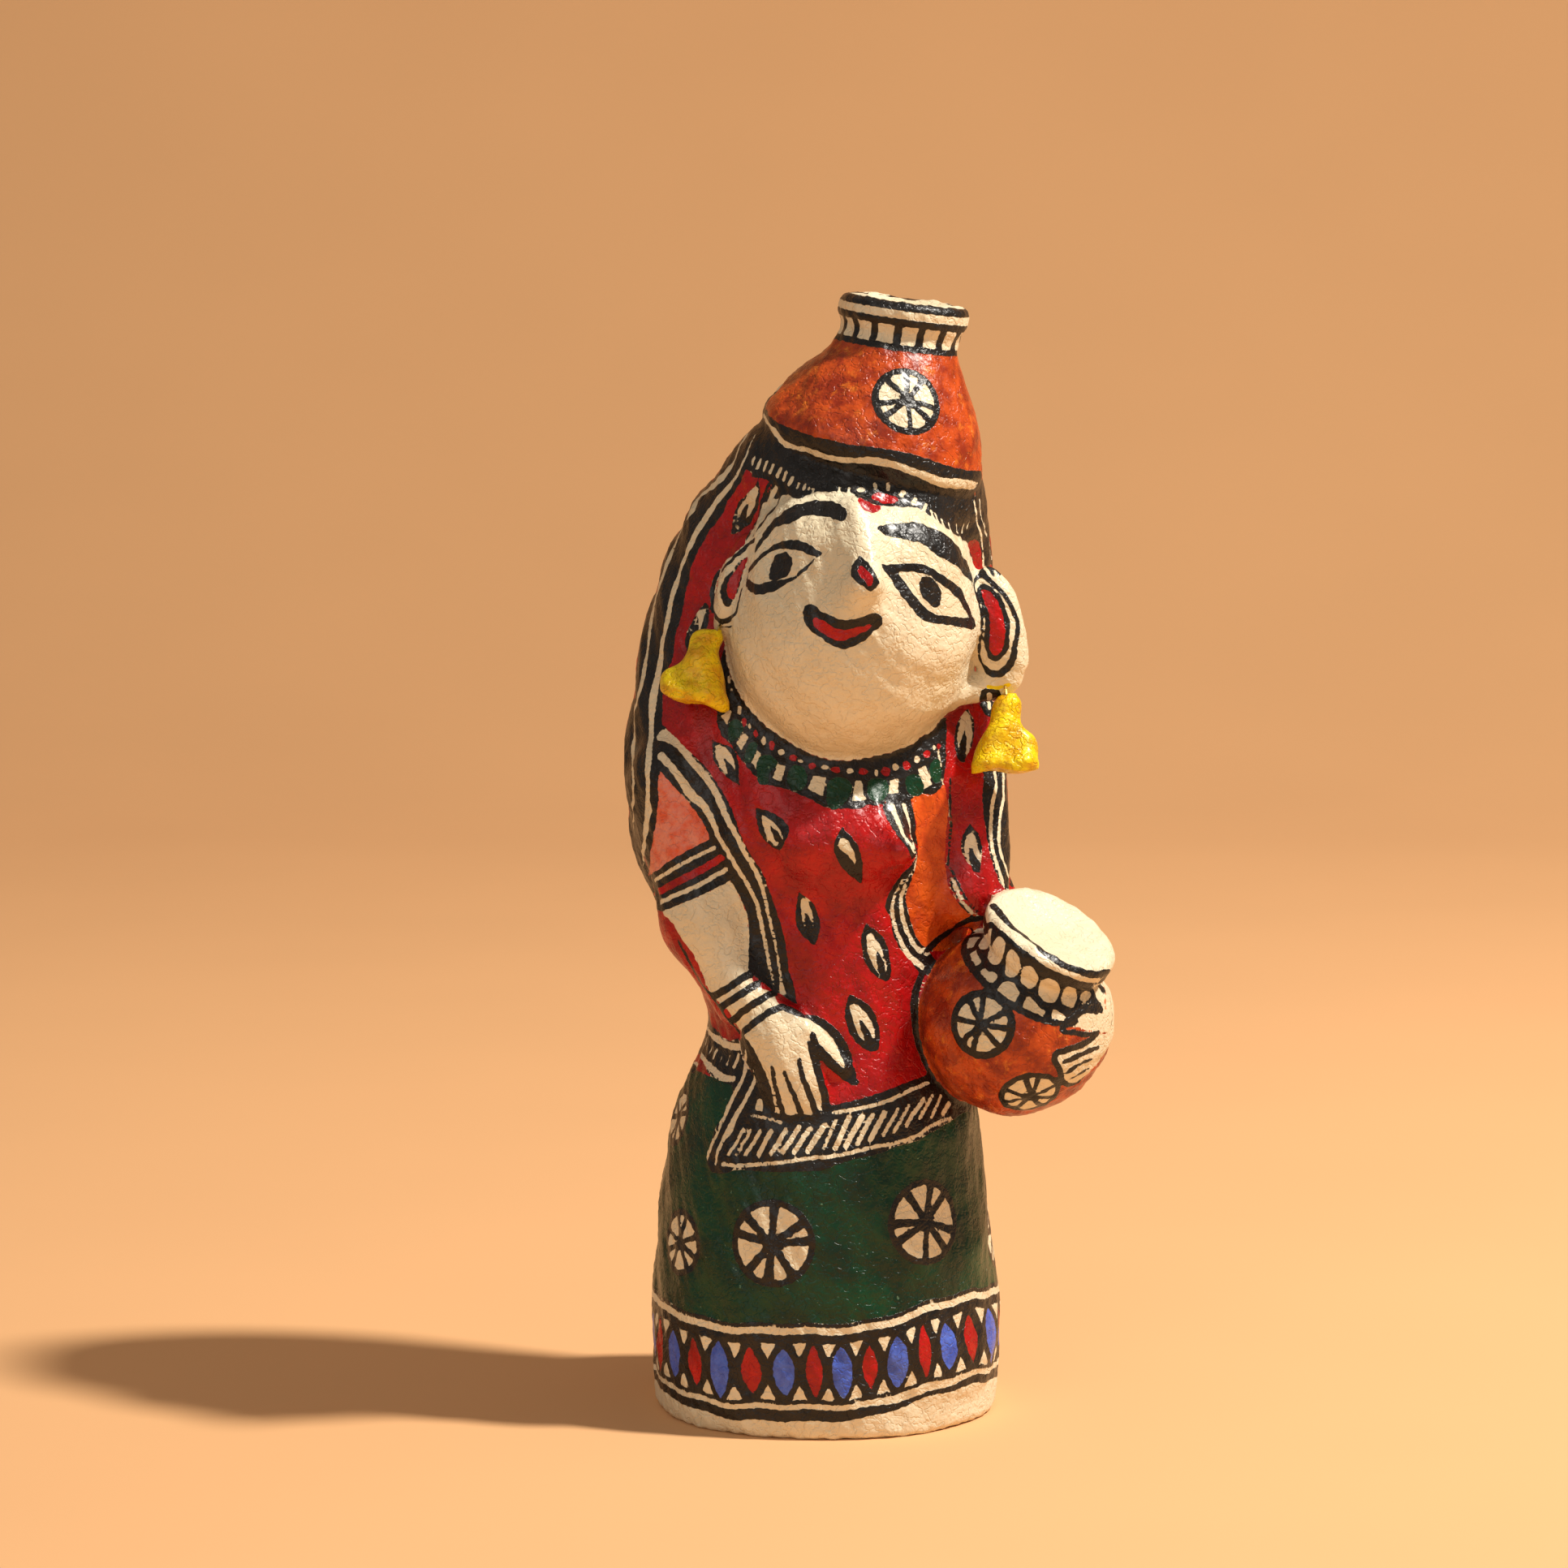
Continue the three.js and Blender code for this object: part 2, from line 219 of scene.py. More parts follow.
def parts_of(p):
    """Field of each part of the figure at the points p, by name."""
    bridge = limb(p, (7.5, -33, 236), (9.4, -45, 219.6), 2.4, 3.4)
    nose = blend(bridge, limb(p, (9.6, -45, 218.8), (6.5, -41, 213), 3.8, 2.8), 3)
    cheeks = ellipsoid(p, (6.5, -10, 205.5), (32.3, 34, 36), HEAD_LEAN)
    face = blend(cheeks, ellipsoid(p, (8.5, -17, 225.5), (25, 19.5, 15), HEAD_LEAN), 9)
    left_lobe = limb(p, (32, -14, 187.5), (43.5, -12.5, 190), 3, 3.2)
    head_belly = loft(p, HEAD_BELLY, HEAD_BELLY_AT, leaning(POT_LEAN))
    head_neck = neck(p, HEAD_NECK, HEAD_NECK_AT, leaning(NECK_LEAN), 13, 4)
    left_breast = limb(p, (8, -21, 153.5), (18.6, -34.6, 150.5), 12, 3.8)
    right_breast = limb(p, (-9, -18, 155), (-4, -27, 152), 14, 8.5)
    right_sleeve = limb(p, (-37.5, -9, 165), (-30.5, -16, 130), 13, 11)
    palm = ellipsoid(p, (-12.3, -29.6, 101.5), (9.6, 6.6, 11), -24)
    hand = blend(palm, ellipsoid(p, (-7.6, -31.8, 90.5), (8.8, 4.8, 10.5), -12), 5)
    left_sleeve = limb(p, (40, 10, 132), (50, 12, 113), 9.5, 9.5)
    hip_belly = ellipsoid(p, (47.8, -20, 104.6), (24.4, 24.4, 24.2))
    return {
        "gown": loft(p, GOWN, roundness=2.15),
        "hair": ellipsoid(p, (9, 1, 237.5), (29.4, 29, 17), HEAD_LEAN),
        "face": blend(face, nose, 7),
        "right_ear": ellipsoid(p, (-23.4, -14, 215.5), (4.4, 6.5, 14), 15),
        "left_ear": blend(ellipsoid(p, (43.4, -12, 203.6), (7.2, 5, 16.8), -9), left_lobe, 4),
        "head_pot": blend(head_belly, head_neck, 5),
        "bust": blend(left_breast, right_breast, 12),
        "left_shoulder": limb(p, (35, 0, 176), (37.6, -14, 137), 10.5, 9.4),
        "right_arm": blend(right_sleeve, limb(p, (-30.5, -16, 130), (-21, -26, 111), 11, 7.4), 6),
        "right_hand": blend(hand, limb(p, (-6, -32, 104), (3.6, -32, 94.5), 3.4, 2.2), 2.5),
        "left_arm": blend(left_sleeve, limb(p, (50, 12, 113), (64, -5, 105), 9.5, 7.5), 5),
        "hip_pot": blend(hip_belly, neck(p, HIP_NECK, HIP_NECK_AT, HIP_NECK_WAY, 14, 3), 2.5),
        "left_hand": ellipsoid(p, (66.4, -20, 103.5), (6.6, 11, 11.5), 16),
    }


# How far each part's fillet reaches where it joins the parts before it.
FILLETS = {
    "hair": 7,
    "face": 2.2,
    "right_ear": 2,
    "left_ear": 3,
    "head_pot": 1.6,
    "bust": 10,
    "left_shoulder": 3.5,
    "right_arm": 2.5,
    "right_hand": 1.8,
    "left_arm": 4,
    "hip_pot": 2,
    "left_hand": 2.5,
}


def figure_field(p):
    """The whole figure, with the gentle unevenness of hand-pressed pulp and a flat foot."""
    parts = parts_of(p)
    d = parts["gown"]
    for name, k in FILLETS.items():
        d = blend(d, parts[name], k)
    x, y, z = p.T
    uneven = np.sin(x * 0.21 + z * 0.13) * np.sin(y * 0.19 - z * 0.11 + 1)
    uneven += 0.6 * np.sin(x * 0.33 - y * 0.29 + z * 0.24)
    return carve(d + 0.35 * uneven, z, 2)


def earring_field(p, rim, up, crease):
    """One earring: a bell that stands on its rim, squashed and creased by the fingers."""
    bell = loft(p, [(h, -wide, wide, -thick, thick) for h, wide, thick in BELL], rim, up, 2.3)
    x, y, z = (p - rim).T
    return bell + 0.5 * np.sin(crease * x * 0.55 + z * 0.3) + 0.3 * np.sin(y * 0.6 + z * 0.5)


# ---- surface of a field ----
def surface_of(field, low, high, step):
    """Corners and triangles of a field's surface, as surface nets: one corner in each grid cell
    that the surface crosses, at the mean of the crossings on the cell's edges, and one square
    of two triangles around each grid edge that the surface crosses."""
    axes = [np.arange(l, h + step, step) for l, h in zip(low, high)]
    grid = np.stack(np.meshgrid(*axes, indexing="ij"), -1)
    shape = grid.shape[:3]
    value = field(grid.reshape(-1, 3)).reshape(shape)
    fill_touching_corners(value)
    inside = value < 0

    cells = tuple(n - 1 for n in shape)
    total = np.zeros(cells + (3,))
    count = np.zeros(cells)
    for n in range(3):
        here = [slice(None)] * 3
        there = [slice(None)] * 3
        here[n], there[n] = slice(0, -1), slice(1, None)
        a, b = value[tuple(here)], value[tuple(there)]
        crossed = inside[tuple(here)] != inside[tuple(there)]
        t = np.where(crossed, a / np.where(crossed, a - b, 1), 0)
        for corner in range(4):
            offset = np.zeros(3, int)
            offset[(n + 1) % 3], offset[(n + 2) % 3] = corner & 1, corner >> 1
            pick = tuple(slice(o, o + c) for o, c in zip(offset, cells))
            hit = crossed[pick]
            for m in range(3):
                total[..., m] += np.where(hit, t[pick] if m == n else offset[m], 0)
            count += hit
    used = count > 0
    number = np.full(cells, -1)
    number[used] = np.arange(used.sum())
    corners = np.array(low) + (np.argwhere(used) + total[used] / count[used][:, None]) * step

    squares = []
    for n in range(3):
        here = [slice(1, -1)] * 3
        there = [slice(1, -1)] * 3
        there[n] = slice(2, None)
        first = inside[tuple(here)]
        crossed = np.argwhere(first != inside[tuple(there)]) + 1
        u, v = np.eye(3, dtype=int)[(n + 1) % 3], np.eye(3, dtype=int)[(n + 2) % 3]
        ring = [number[tuple((crossed - du * u - dv * v).T)] for du, dv in ((1, 1), (0, 1), (0, 0), (1, 0))]
        ring = np.stack(ring, -1)
        outward = first[tuple((crossed - 1).T)]
        squares.append(np.where(outward[:, None], ring, ring[:, ::-1]))
    squares = np.concatenate(squares)
    return corners, np.concatenate([squares[:, [0, 1, 2]], squares[:, [0, 2, 3]]])


def fill_touching_corners(value):
    """Fills the spots where two diagonal corners of a grid square are inside and the other two
    are not, since the surface would touch itself along an edge there."""
    changed = True
    while changed:
        changed = False
        for u, v in ((0, 1), (0, 2), (1, 2)):
            views = []
            for du, dv in ((0, 0), (1, 0), (0, 1), (1, 1)):
                pick = [slice(None)] * 3
                pick[u] = slice(du, value.shape[u] - 1 + du)
                pick[v] = slice(dv, value.shape[v] - 1 + dv)
                views.append(value[tuple(pick)])
            a, b, c, d = (view < 0 for view in views)
            bad = (a == d) & (b == c) & (a != b)
            if bad.any():
                changed = True
                for view in views:
                    view[bad] = np.minimum(view[bad], -0.05)


def slopes(field, p, reach=0.4):
    """Value of a field at the points p, and the direction and steepness in which it grows,
    from its values at the four corners of a small tetrahedron around each point."""
    sides = np.array([(1, 1, 1), (1, -1, -1), (-1, 1, -1), (-1, -1, 1)], float)
    around = np.array([field(p + reach * side) for side in sides])
    return field(p), (around.T @ sides) / (4 * reach)


def settle(field, p, steps=2):
    """Moves the points p onto the surface of a field, by at most a millimetre a step."""
    for _ in range(steps):
        value, slope = slopes(field, p)
        move = -value / np.maximum((slope * slope).sum(-1), 0.2)
        p = p + np.clip(move, -1, 1)[:, None] * slope
    return p


# ---- the brush ----
COATS = ("ink", "red", "green", "clay", "orange", "salmon", "blue", "yellow")
FAR = 3.0  # no coat looks further than this, in mm


def curve(points, closed, parts=5):
    """Points along a smooth curve through the given ones. At each given point the curve runs
    along the line between its neighbours, so one that is given twice is a sharp corner. Columns
    after the first two, such as a half width, are carried along."""
    q = np.asarray(points, float)
    n = len(q)
    i = np.arange(n if closed else n - 1)
    a, b = q[i], q[(i + 1) % n]
    before = q[i - 1] if closed else q[np.maximum(i - 1, 0)]
    after = q[(i + 2) % n] if closed else q[np.minimum(i + 2, n - 1)]
    span = length((b - a)[:, :2])[:, None]
    leave = (b - before) / np.maximum(length((b - before)[:, :2]), 1e-9)[:, None] * span
    arrive = (after - a) / np.maximum(length((after - a)[:, :2]), 1e-9)[:, None] * span
    keep = span[:, 0] > 0
    t = (np.arange(parts) / parts)[None, :, None]
    a, b, leave, arrive = (v[keep][:, None] for v in (a, b, leave, arrive))
    along = a + (b - a) * t * t * (3 - 2 * t) + leave * t * (1 - t) ** 2 + arrive * t * t * (t - 1)
    along = along.reshape(-1, q.shape[1])
    return along if closed else np.concatenate([along, q[-1:]])


def outline_distance(q, outline):
    """Distance from the flat points q to a closed outline, negative inside it."""
    a, b = outline, np.roll(outline, -1, 0)
    edge = b - a
    found = []
    for some in np.array_split(q, len(q) // 4096 + 1):
        off = some[:, None] - a
        t = np.clip((off * edge).sum(-1) / np.maximum((edge * edge).sum(-1), 1e-12), 0, 1)
        near = length(off - t[..., None] * edge).min(1)
        above = (a[:, 1] > some[:, None, 1]) != (b[:, 1] > some[:, None, 1])
        rise = np.where(edge[:, 1] == 0, 1e-12, edge[:, 1])
        left = some[:, None, 0] < a[:, 0] + (some[:, None, 1] - a[:, 1]) * edge[:, 0] / rise
        found.append(np.where((above & left).sum(1) % 2 == 1, -near, near))
    return np.concatenate(found)


def path_distance(p, path):
    """Distance from the points p to a path, less the path's half width there."""
    a, b = path[:-1], path[1:]
    edge = (b - a)[:, :3]
    off = p[:, None] - a[:, :3]
    t = np.clip((off * edge).sum(-1) / np.maximum((edge * edge).sum(-1), 1e-12), 0, 1)
    return (length(off - t[..., None] * edge) - a[:, 3] - t * (b - a)[:, 3]).min(1)


def first_hit(start, way, reach):
    """How far from each start, along its way, the figure's skin is first met. Each step is most
    of the field's value, which is about the room left before the skin."""
    far = np.zeros(len(start))
    going = np.arange(len(start))
    for _ in range(120):
        d = figure_field(start[going] + way[going] * far[going, None])
        far[going] += np.where(d > 0.04, np.maximum(0.8 * d, 0.04), 0)
        going = going[(d > 0.04) & (far[going] < reach)]
        if not len(going):
            break
    return far


def sight_lines(flat):
    """Starts and ways of the lines of sight through points of the upright plane y = 0, with
    starts at y = -62 and ways that gain a millimetre of y each."""
    way = np.stack([flat[:, 0] - EYE[0], np.full(len(flat), -EYE[1]), flat[:, 1] - EYE[2]], -1) / -EYE[1]
    return EYE + way * (-62 - EYE[1]), way


class Skin:
    """Points p on the figure, with their places on the upright plane y = 0 as seen from the eye,
    and how far each lies behind what the eye sees there."""

    def __init__(self, p):
        self.p = p
        drop = EYE[1] / (EYE[1] - p[:, 1])
        self.flat = EYE[[0, 2]] + (p[:, [0, 2]] - EYE[[0, 2]]) * drop[:, None]
        start, way = sight_lines(self.flat)
        self.behind = p[:, 1] + 62 - first_hit(start, way, 125) - 1.5
        self.parts = parts_of(p)
        self.slope = slopes(figure_field, p, 1)[1]
        x, y, z = p.T
        self.sway = 0.16 * np.sin(x * 1.9 + z * 1.3 + y) * np.sin(z * 2.1 - x * 0.7 + y * 1.7 + 1)
        self.coats = {name: np.full(len(p), FAR) for name in COATS}

    def own(self, *names):
        """Distance to the edge of what the named parts take up of the skin."""
        mine = np.min([self.parts[n] for n in names], 0)
        rest = np.min([d for n, d in self.parts.items() if n not in names], 0)
        return (mine - rest) / 1.6

    def lay(self, coat, d, where=slice(None)):
        """Lays a coat where d is negative, over what is there. Cream is the bare ground."""
        d = np.clip(d + self.sway[where], -FAR, FAR)
        for name, field in self.coats.items():
            field[where] = np.minimum(field[where], d) if name == coat else np.maximum(field[where], -d)

    def near(self, values, low, high):
        return np.flatnonzero(((values > low - FAR) & (values < high + FAR)).all(1))


class Area:
    """A patch of paint inside a closed outline of points (x, z) of the upright plane."""

    def __init__(self, coat, points, on=None):
        self.coat, self.on = coat, on
        self.outline = curve(points, True)

    def lay(self, skin):
        where = skin.near(skin.flat, self.outline.min(0), self.outline.max(0))
        if len(where):
            d = outline_distance(skin.flat[where], self.outline)
            if self.on:
                d = np.maximum(d, skin.own(*self.on)[where])
            skin.lay(self.coat, np.maximum(d, skin.behind[where]), where)


class Line:
    """A brush line through points (x, z) or (x, z, half width) of the upright plane, thrown on
    the skin along the lines of sight."""

    def __init__(self, coat, points, wide=0.5):
        self.coat = coat
        q = np.array([tuple(point) + (wide,) * (3 - len(point)) for point in points], float)
        self.flat = curve(q, False)
        self.paths = []

    def lay(self, skin):
        for path in self.paths:
            reach = path[:, 3].max()
            where = skin.near(skin.p, path[:, :3].min(0) - reach, path[:, :3].max(0) + reach)
            if len(where):
                skin.lay(self.coat, path_distance(skin.p[where], path), where)


class Wheel:
    """A painted wheel: an ink disc, a cream disc inside its rim, and tapering ink spokes."""

    def __init__(self, centre, radius, rim=1.7, hub=1.8, spoke=0.95, turn=4, way=None):
        self.radius, self.rim, self.hub, self.spoke, self.turn = radius, rim, hub, spoke, turn
        start, sight = sight_lines(np.array([centre], float)) if way is None else (centre, way)
        self.centre = (start + sight * first_hit(start, sight, 125)[:, None])[0]
        self.out = unit(slopes(figure_field, self.centre[None], 3)[1][0])

    def lay(self, skin):
        where = skin.near(skin.p, self.centre - self.radius, self.centre + self.radius)
        q = skin.p[where] - self.centre
        side = unit(np.cross([0, 0, 1], self.out))
        r = length(q)
        angle = np.degrees(np.arctan2(q @ side, q @ np.cross(self.out, side)))
        uneven = 9 * np.sin(np.round((angle - self.turn) / 45) * 2.4 + self.turn)
        off = (angle - self.turn + uneven + 22.5) % 45 - 22.5
        behind = np.where(skin.slope[where] @ self.out > 0, -FAR, FAR)
        skin.lay("ink", np.maximum(r - self.radius, behind), where)
        inner = r - self.radius + self.rim
        skin.lay("cream", np.maximum(inner, behind), where)
        bar = r * np.abs(np.sin(np.radians(off))) - self.spoke * (0.75 + 0.5 * r / self.radius)
        skin.lay("ink", np.maximum(np.minimum(bar, r - self.hub), np.maximum(inner - 0.4, behind)), where)


class Part:
    """A coat all over the skin of the named parts."""

    def __init__(self, coat, *names):
        self.coat, self.names = coat, names

    def lay(self, skin):
        skin.lay(self.coat, skin.own(*self.names))


def leaf(outline, inside, flame):
    """A small leaf: an ink oval with two points, cream inside it, and an ink flame that rises
    from its lower point."""
    tip, root = flame
    belly = (tip[0] * 0.45 + root[0] * 0.55, tip[1] * 0.45 + root[1] * 0.55, 0.95)
    return [Area("ink", outline), Area("cream", inside), Line("ink", [tip + (0.2,), belly, root + (0.9,)])]


def bars(coat, rows):
    """Short straight lines, each from a point (x, z) to another, with a half width."""
    return [Line(coat, [a + (w,), b + (w,)]) for a, b, w in rows]


def dots(coat, rows):
    """Small upright ovals at (x, z), with half sizes."""
    turn = np.radians(np.arange(0, 360, 45))
    return [Area(coat, np.stack([x + w * np.cos(turn), z + h * np.sin(turn)], -1)) for x, z, w, h in rows]


# ---- what is painted, each list in the order in which it is laid ----
def veil_paint():
    """Red veil with cream-lined ink borders, the bodice and its drape, and the veil's hem."""
    border = [
        (-17.3, 257.4), (-21.7, 241.2), (-24.8, 236.3), (-26.9, 232), (-29.4, 228.8), (-31.5, 225.4),
        (-33.2, 222), (-34.4, 218.8), (-35.3, 215), (-36.3, 210.8), (-37.3, 205.8), (-38.6, 201.7),
        (-39, 198.3), (-39.8, 194.2), (-41.1, 191.3), (-41.9, 184.2), (-42.2, 178.3), (-42.2, 178.3),
        (-38.4, 174.5), (-34.7, 170.8), (-30.9, 167), (-28, 162.8), (-25.1, 157.8), (-23.4, 153.7),
        (-21.8, 149.1), (-19.3, 144.1), (-16.3, 139.5), (-14.7, 135.3), (-12.2, 127.9), (-10.9, 123.3),
        (-10.1, 118.8), (-9.5, 113.8), (-8.2, 110), (-7.6, 105.8), (-7, 104.6), (-7, 104.6), (-19.3, 113.3),
        (-20.9, 117.5), (-19.9, 120), (-20.5, 129.2), (-24.7, 138), (-24.7, 138), (-46, 137), (-47.2, 137),
        (-53, 150), (-56, 175), (-52, 205), (-45, 225), (-38, 240), (-28, 252),
    ]
    hem = [
        (-33.4, 90), (-30.5, 87.1), (-27.6, 85), (-24.3, 83.8), (-24.3, 83.8), (-24, 82.5), (-25.1, 79.6),
        (-26.3, 76.3), (-28.7, 72.5), (-29.9, 68.8), (-31, 65.4), (-30.75, 63.3), (-29.5, 60.8), (-27, 60.4),
        (-22.8, 61.3), (-16.6, 61), (-12.4, 60.8), (-6.2, 61), (-0.75, 61.3), (3.3, 62.9), (8.75, 64.6),
        (13.75, 65.6), (18.3, 67.5), (23.3, 68.8), (26.7, 70.8), (30.4, 72.9), (33.8, 75), (37, 77), (50, 80),
    ]
    top = [(50, 80), (50, 100), (50, 100), (-38, 100), (-38, 100), (-34, 90)]
    band = [
        (-36, 103), (-30.7, 103.3), (-29.7, 100), (-28, 97.9), (-25, 95.5), (-22.6, 96.2), (-18, 92), (-10, 78),
    ]
    band += [(0.4, 78.3), (6.7, 79.6), (15, 82.1), (21.3, 84.6), (25.8, 86.3), (30, 88), (50, 92)]
    white = [
        [(-30.9, 100.4, 0.5), (-30.3, 97.9, 0.6), (-28, 95.8, 0.9), (-25.1, 94.2, 0.9), (-22.4, 93.8, 0.9)],
        [(-32.4, 92.1, 0.5), (-31.3, 90, 0.8), (-28.8, 87.5, 0.85), (-26.3, 85.8, 0.8), (-23.8, 85.4, 0.8)],
        [
            (-21.1, 93.3, 0.15), (-20.7, 90.8, 0.5), (-20.9, 87.5, 0.6), (-22.2, 84.2, 0.6), (-24.3, 80, 0.6),
            (-25.9, 76.3, 0.6), (-27, 73.8, 0.4), (-28.3, 70.8, 0.35), (-29.9, 67.5, 0.5), (-30.7, 64.8, 0.4),
        ],
        [
            (-18.8, 87.9, 0.1), (-18.4, 85.4, 0.6), (-19.3, 82.9, 0.6), (-20.9, 79.6, 0.6), (-23, 76.3, 0.7),
            (-25.3, 71.3, 0.9), (-27, 68.8, 0.5), (-28, 66.3, 0.5), (-28.7, 62.9, 0.4),
        ],
        [(-19.3, 75.9, 0.4), (-14, 74.7, 0.4), (-11.5, 73.8, 0.4)],
        [
            (-26.8, 62.9), (-22.8, 62.5), (-16.6, 62.9), (-10.3, 63.5), (-4.1, 64.5), (0.4, 64.8), (5, 65.6),
            (8.75, 66.5), (13.75, 67.7), (18.3, 68.5), (24.2, 70.6), (26.7, 72.5), (30, 74.2), (32.5, 75),
        ],
        [(2.1, 76.5), (6.7, 77.3), (12.5, 78.5), (17.1, 80), (22.1, 82.5), (26.7, 84.4)],
    ]
    hatch = [
        ((-30.9, 96.3), (-31.3, 94.2), 0.3), ((-30.3, 95.2), (-30.7, 93.1), 0.3),
        ((-29.5, 94.2), (-30.2, 92.3), 0.3), ((-28.2, 93.1), (-29.3, 90.8), 0.5),
        ((-26.7, 91.9), (-27.4, 89.6), 0.35), ((-24.7, 91.7), (-25.7, 89), 0.35),
        ((-22.6, 91.7), (-23.8, 88.3), 0.55), ((32.1, 78.8), (30.6, 76.3), 0.7),
        ((30, 81), (27.6, 75.4), 0.45), ((27.7, 81), (24.6, 75), 0.5), ((25.4, 80.2), (21, 73.1), 0.6),
        ((21.7, 78.5), (17.9, 71.5), 0.5), ((18.8, 77.5), (15, 70.4), 0.5), ((15.4, 76.6), (11.7, 69.4), 0.7),
        ((12.3, 75.9), (8.3, 68.3), 0.6), ((9.6, 75.6), (5.2, 67.7), 0.75), ((6.2, 75.4), (2.5, 67.1), 0.7),
        ((2.7, 74.6), (-0.6, 66.9), 0.45), ((-0.3, 73.3), (-4.5, 66.5), 0.75),
        ((-3.9, 72.5), (-8.25, 66), 0.65), ((-6.8, 72.7), (-11.4, 65.8), 0.65),
        ((-10.3, 72.1), (-14.1, 65.6), 0.6), ((-14.1, 71.7), (-17.4, 65.4), 0.65),
        ((-16.8, 71.7), (-20.75, 65.4), 0.55), ((-19.5, 71.9), (-23, 65.4), 0.45),
        ((-21, 72.5), (-25.3, 65.2), 0.45),
    ]
    side = [
        [
            (-17.8, 256.8, 0.2), (-19.2, 254.5, 0.4), (-20.8, 252, 0.6), (-22.1, 249.9, 0.6),
            (-23.1, 247, 0.6), (-24.4, 244.5, 0.9), (-25.8, 242.8, 1.4), (-28.3, 240.3, 1.3),
            (-30.8, 238.3, 1.1), (-33.3, 235.8, 1.1), (-34.4, 233.3, 1.2), (-36.5, 230.4, 0.7),
            (-37.5, 227.1, 0.7), (-39.4, 223.3, 0.95), (-41.1, 219.2, 1), (-42.75, 214.2, 1.15),
            (-44, 210, 1.15), (-44.8, 205.4, 1.15), (-45.3, 201.7, 0.8), (-45.9, 197.5, 0.5),
            (-46.5, 194.2, 0.7), (-47.1, 190, 0.75), (-48.2, 185.8, 0.75), (-49.2, 181.7, 0.65),
            (-49.3, 175.3, 0.8), (-49.7, 171.2, 0.85), (-49.8, 167, 0.6), (-49.6, 162.8, 0.6),
            (-49.7, 158.7, 0.75), (-49.9, 156.2, 0.7), (-49.7, 153.7, 0.45), (-49.5, 149.2, 0.1),
        ],
        [
            (-18.3, 252.8, 0.15), (-19.6, 249.5, 0.35), (-20.8, 246.6, 0.4), (-22.5, 243.3, 0.55),
            (-24.2, 240.3, 0.7), (-26.2, 238, 0.9), (-28.7, 234.9, 1), (-30.7, 231.7, 1.1), (-33.2, 227.9, 1),
            (-35.3, 223.3, 0.9), (-36.9, 219.2, 0.7), (-38.2, 215, 0.8), (-39.6, 210.8, 0.9),
            (-40.5, 206.7, 0.75), (-41.1, 203.8, 0.8), (-42.1, 200, 0.9), (-42.5, 195, 1), (-43.4, 190, 1.2),
            (-44.4, 185, 1.2), (-44.9, 180.4, 0.95), (-45.1, 175.3, 0.8), (-45.5, 171.2, 0.85),
            (-45.9, 167, 0.9), (-46, 162.8, 0.75), (-46, 158.7, 0.8), (-45.8, 156.6, 1.15),
            (-46.3, 152.4, 1.1), (-46.8, 148.2, 0.95), (-47.3, 144, 0.75), (-47.1, 141.2, 0.1),
        ],
        [
            (-42.2, 175.4, 1.7), (-39.7, 174.3, 1.2), (-37.2, 172, 0.9), (-34.7, 168.7, 0.9),
            (-31.3, 164.9, 0.9), (-28.8, 161.2, 0.9), (-27.2, 157.8, 0.9), (-25.5, 153.7, 0.8),
            (-23, 149.1, 0.7), (-21.3, 145.3, 0.6), (-18.8, 141.2, 0.6), (-17.2, 137.8, 0.65),
            (-15.9, 133.7, 0.5), (-15.3, 130.8, 0.45), (-14.3, 126.2, 0.4), (-13.2, 121.7, 0.35),
            (-12.4, 117.1, 0.3), (-11.8, 113.3, 0.35), (-11.5, 110, 0.4), (-11.2, 108.5, 0.7),
        ],
        [
            (-42.4, 170, 1.1), (-39.7, 167, 0.9), (-37.2, 163.7, 1), (-34.7, 159.9, 1.2), (-31.8, 157.4, 1),
            (-29.3, 153.2, 0.8), (-27.6, 148.7, 0.7), (-25.1, 144.5, 0.7), (-22.6, 140.3, 0.7),
            (-20.5, 137, 0.6), (-18.8, 133.7, 0.6), (-18, 132.1, 0.6), (-17, 127.9, 0.6), (-16.1, 123.3, 0.5),
            (-15.3, 119.2, 0.45), (-14.5, 115, 0.45), (-13.2, 109.8, 0.15),
        ],
    ]
    drape = [
        [
            (17.1, 157, 0.8), (18.3, 153.7, 0.8), (20, 149.9, 0.6), (22.1, 146.6, 0.4), (22.9, 144.9, 0.2),
        ],
        [
            (19.8, 137.8, 0.25), (18.3, 134.9, 0.3), (17.3, 132, 0.4), (17.1, 130, 0.4), (17.3, 129.2, 0.45),
            (18.1, 125, 0.5), (19.6, 121.3, 0.6), (21.7, 117.9, 0.7), (25, 115, 0.8),
        ],
        [
            (20.1, 157.2, 0.7), (21.3, 153.3, 0.5), (22.1, 149.1, 0.4), (23.1, 145.3, 0.3),
            (23.3, 142.8, 0.25), (22.5, 140.3, 0.3), (21, 137.8, 0.35), (20, 134.9, 0.5), (19.4, 132.4, 0.55),
            (19.4, 130.4, 0.55), (20.2, 126.7, 0.6), (21.7, 122.9, 0.6), (23.8, 119.6, 0.6),
            (26.3, 118.3, 0.5),
        ],
        [(32.9, 137.5, 0.5), (34.2, 134.2, 0.55), (35.8, 131.2, 0.5), (37.9, 129.2, 0.5), (40, 127.7, 0.3)],
    ]
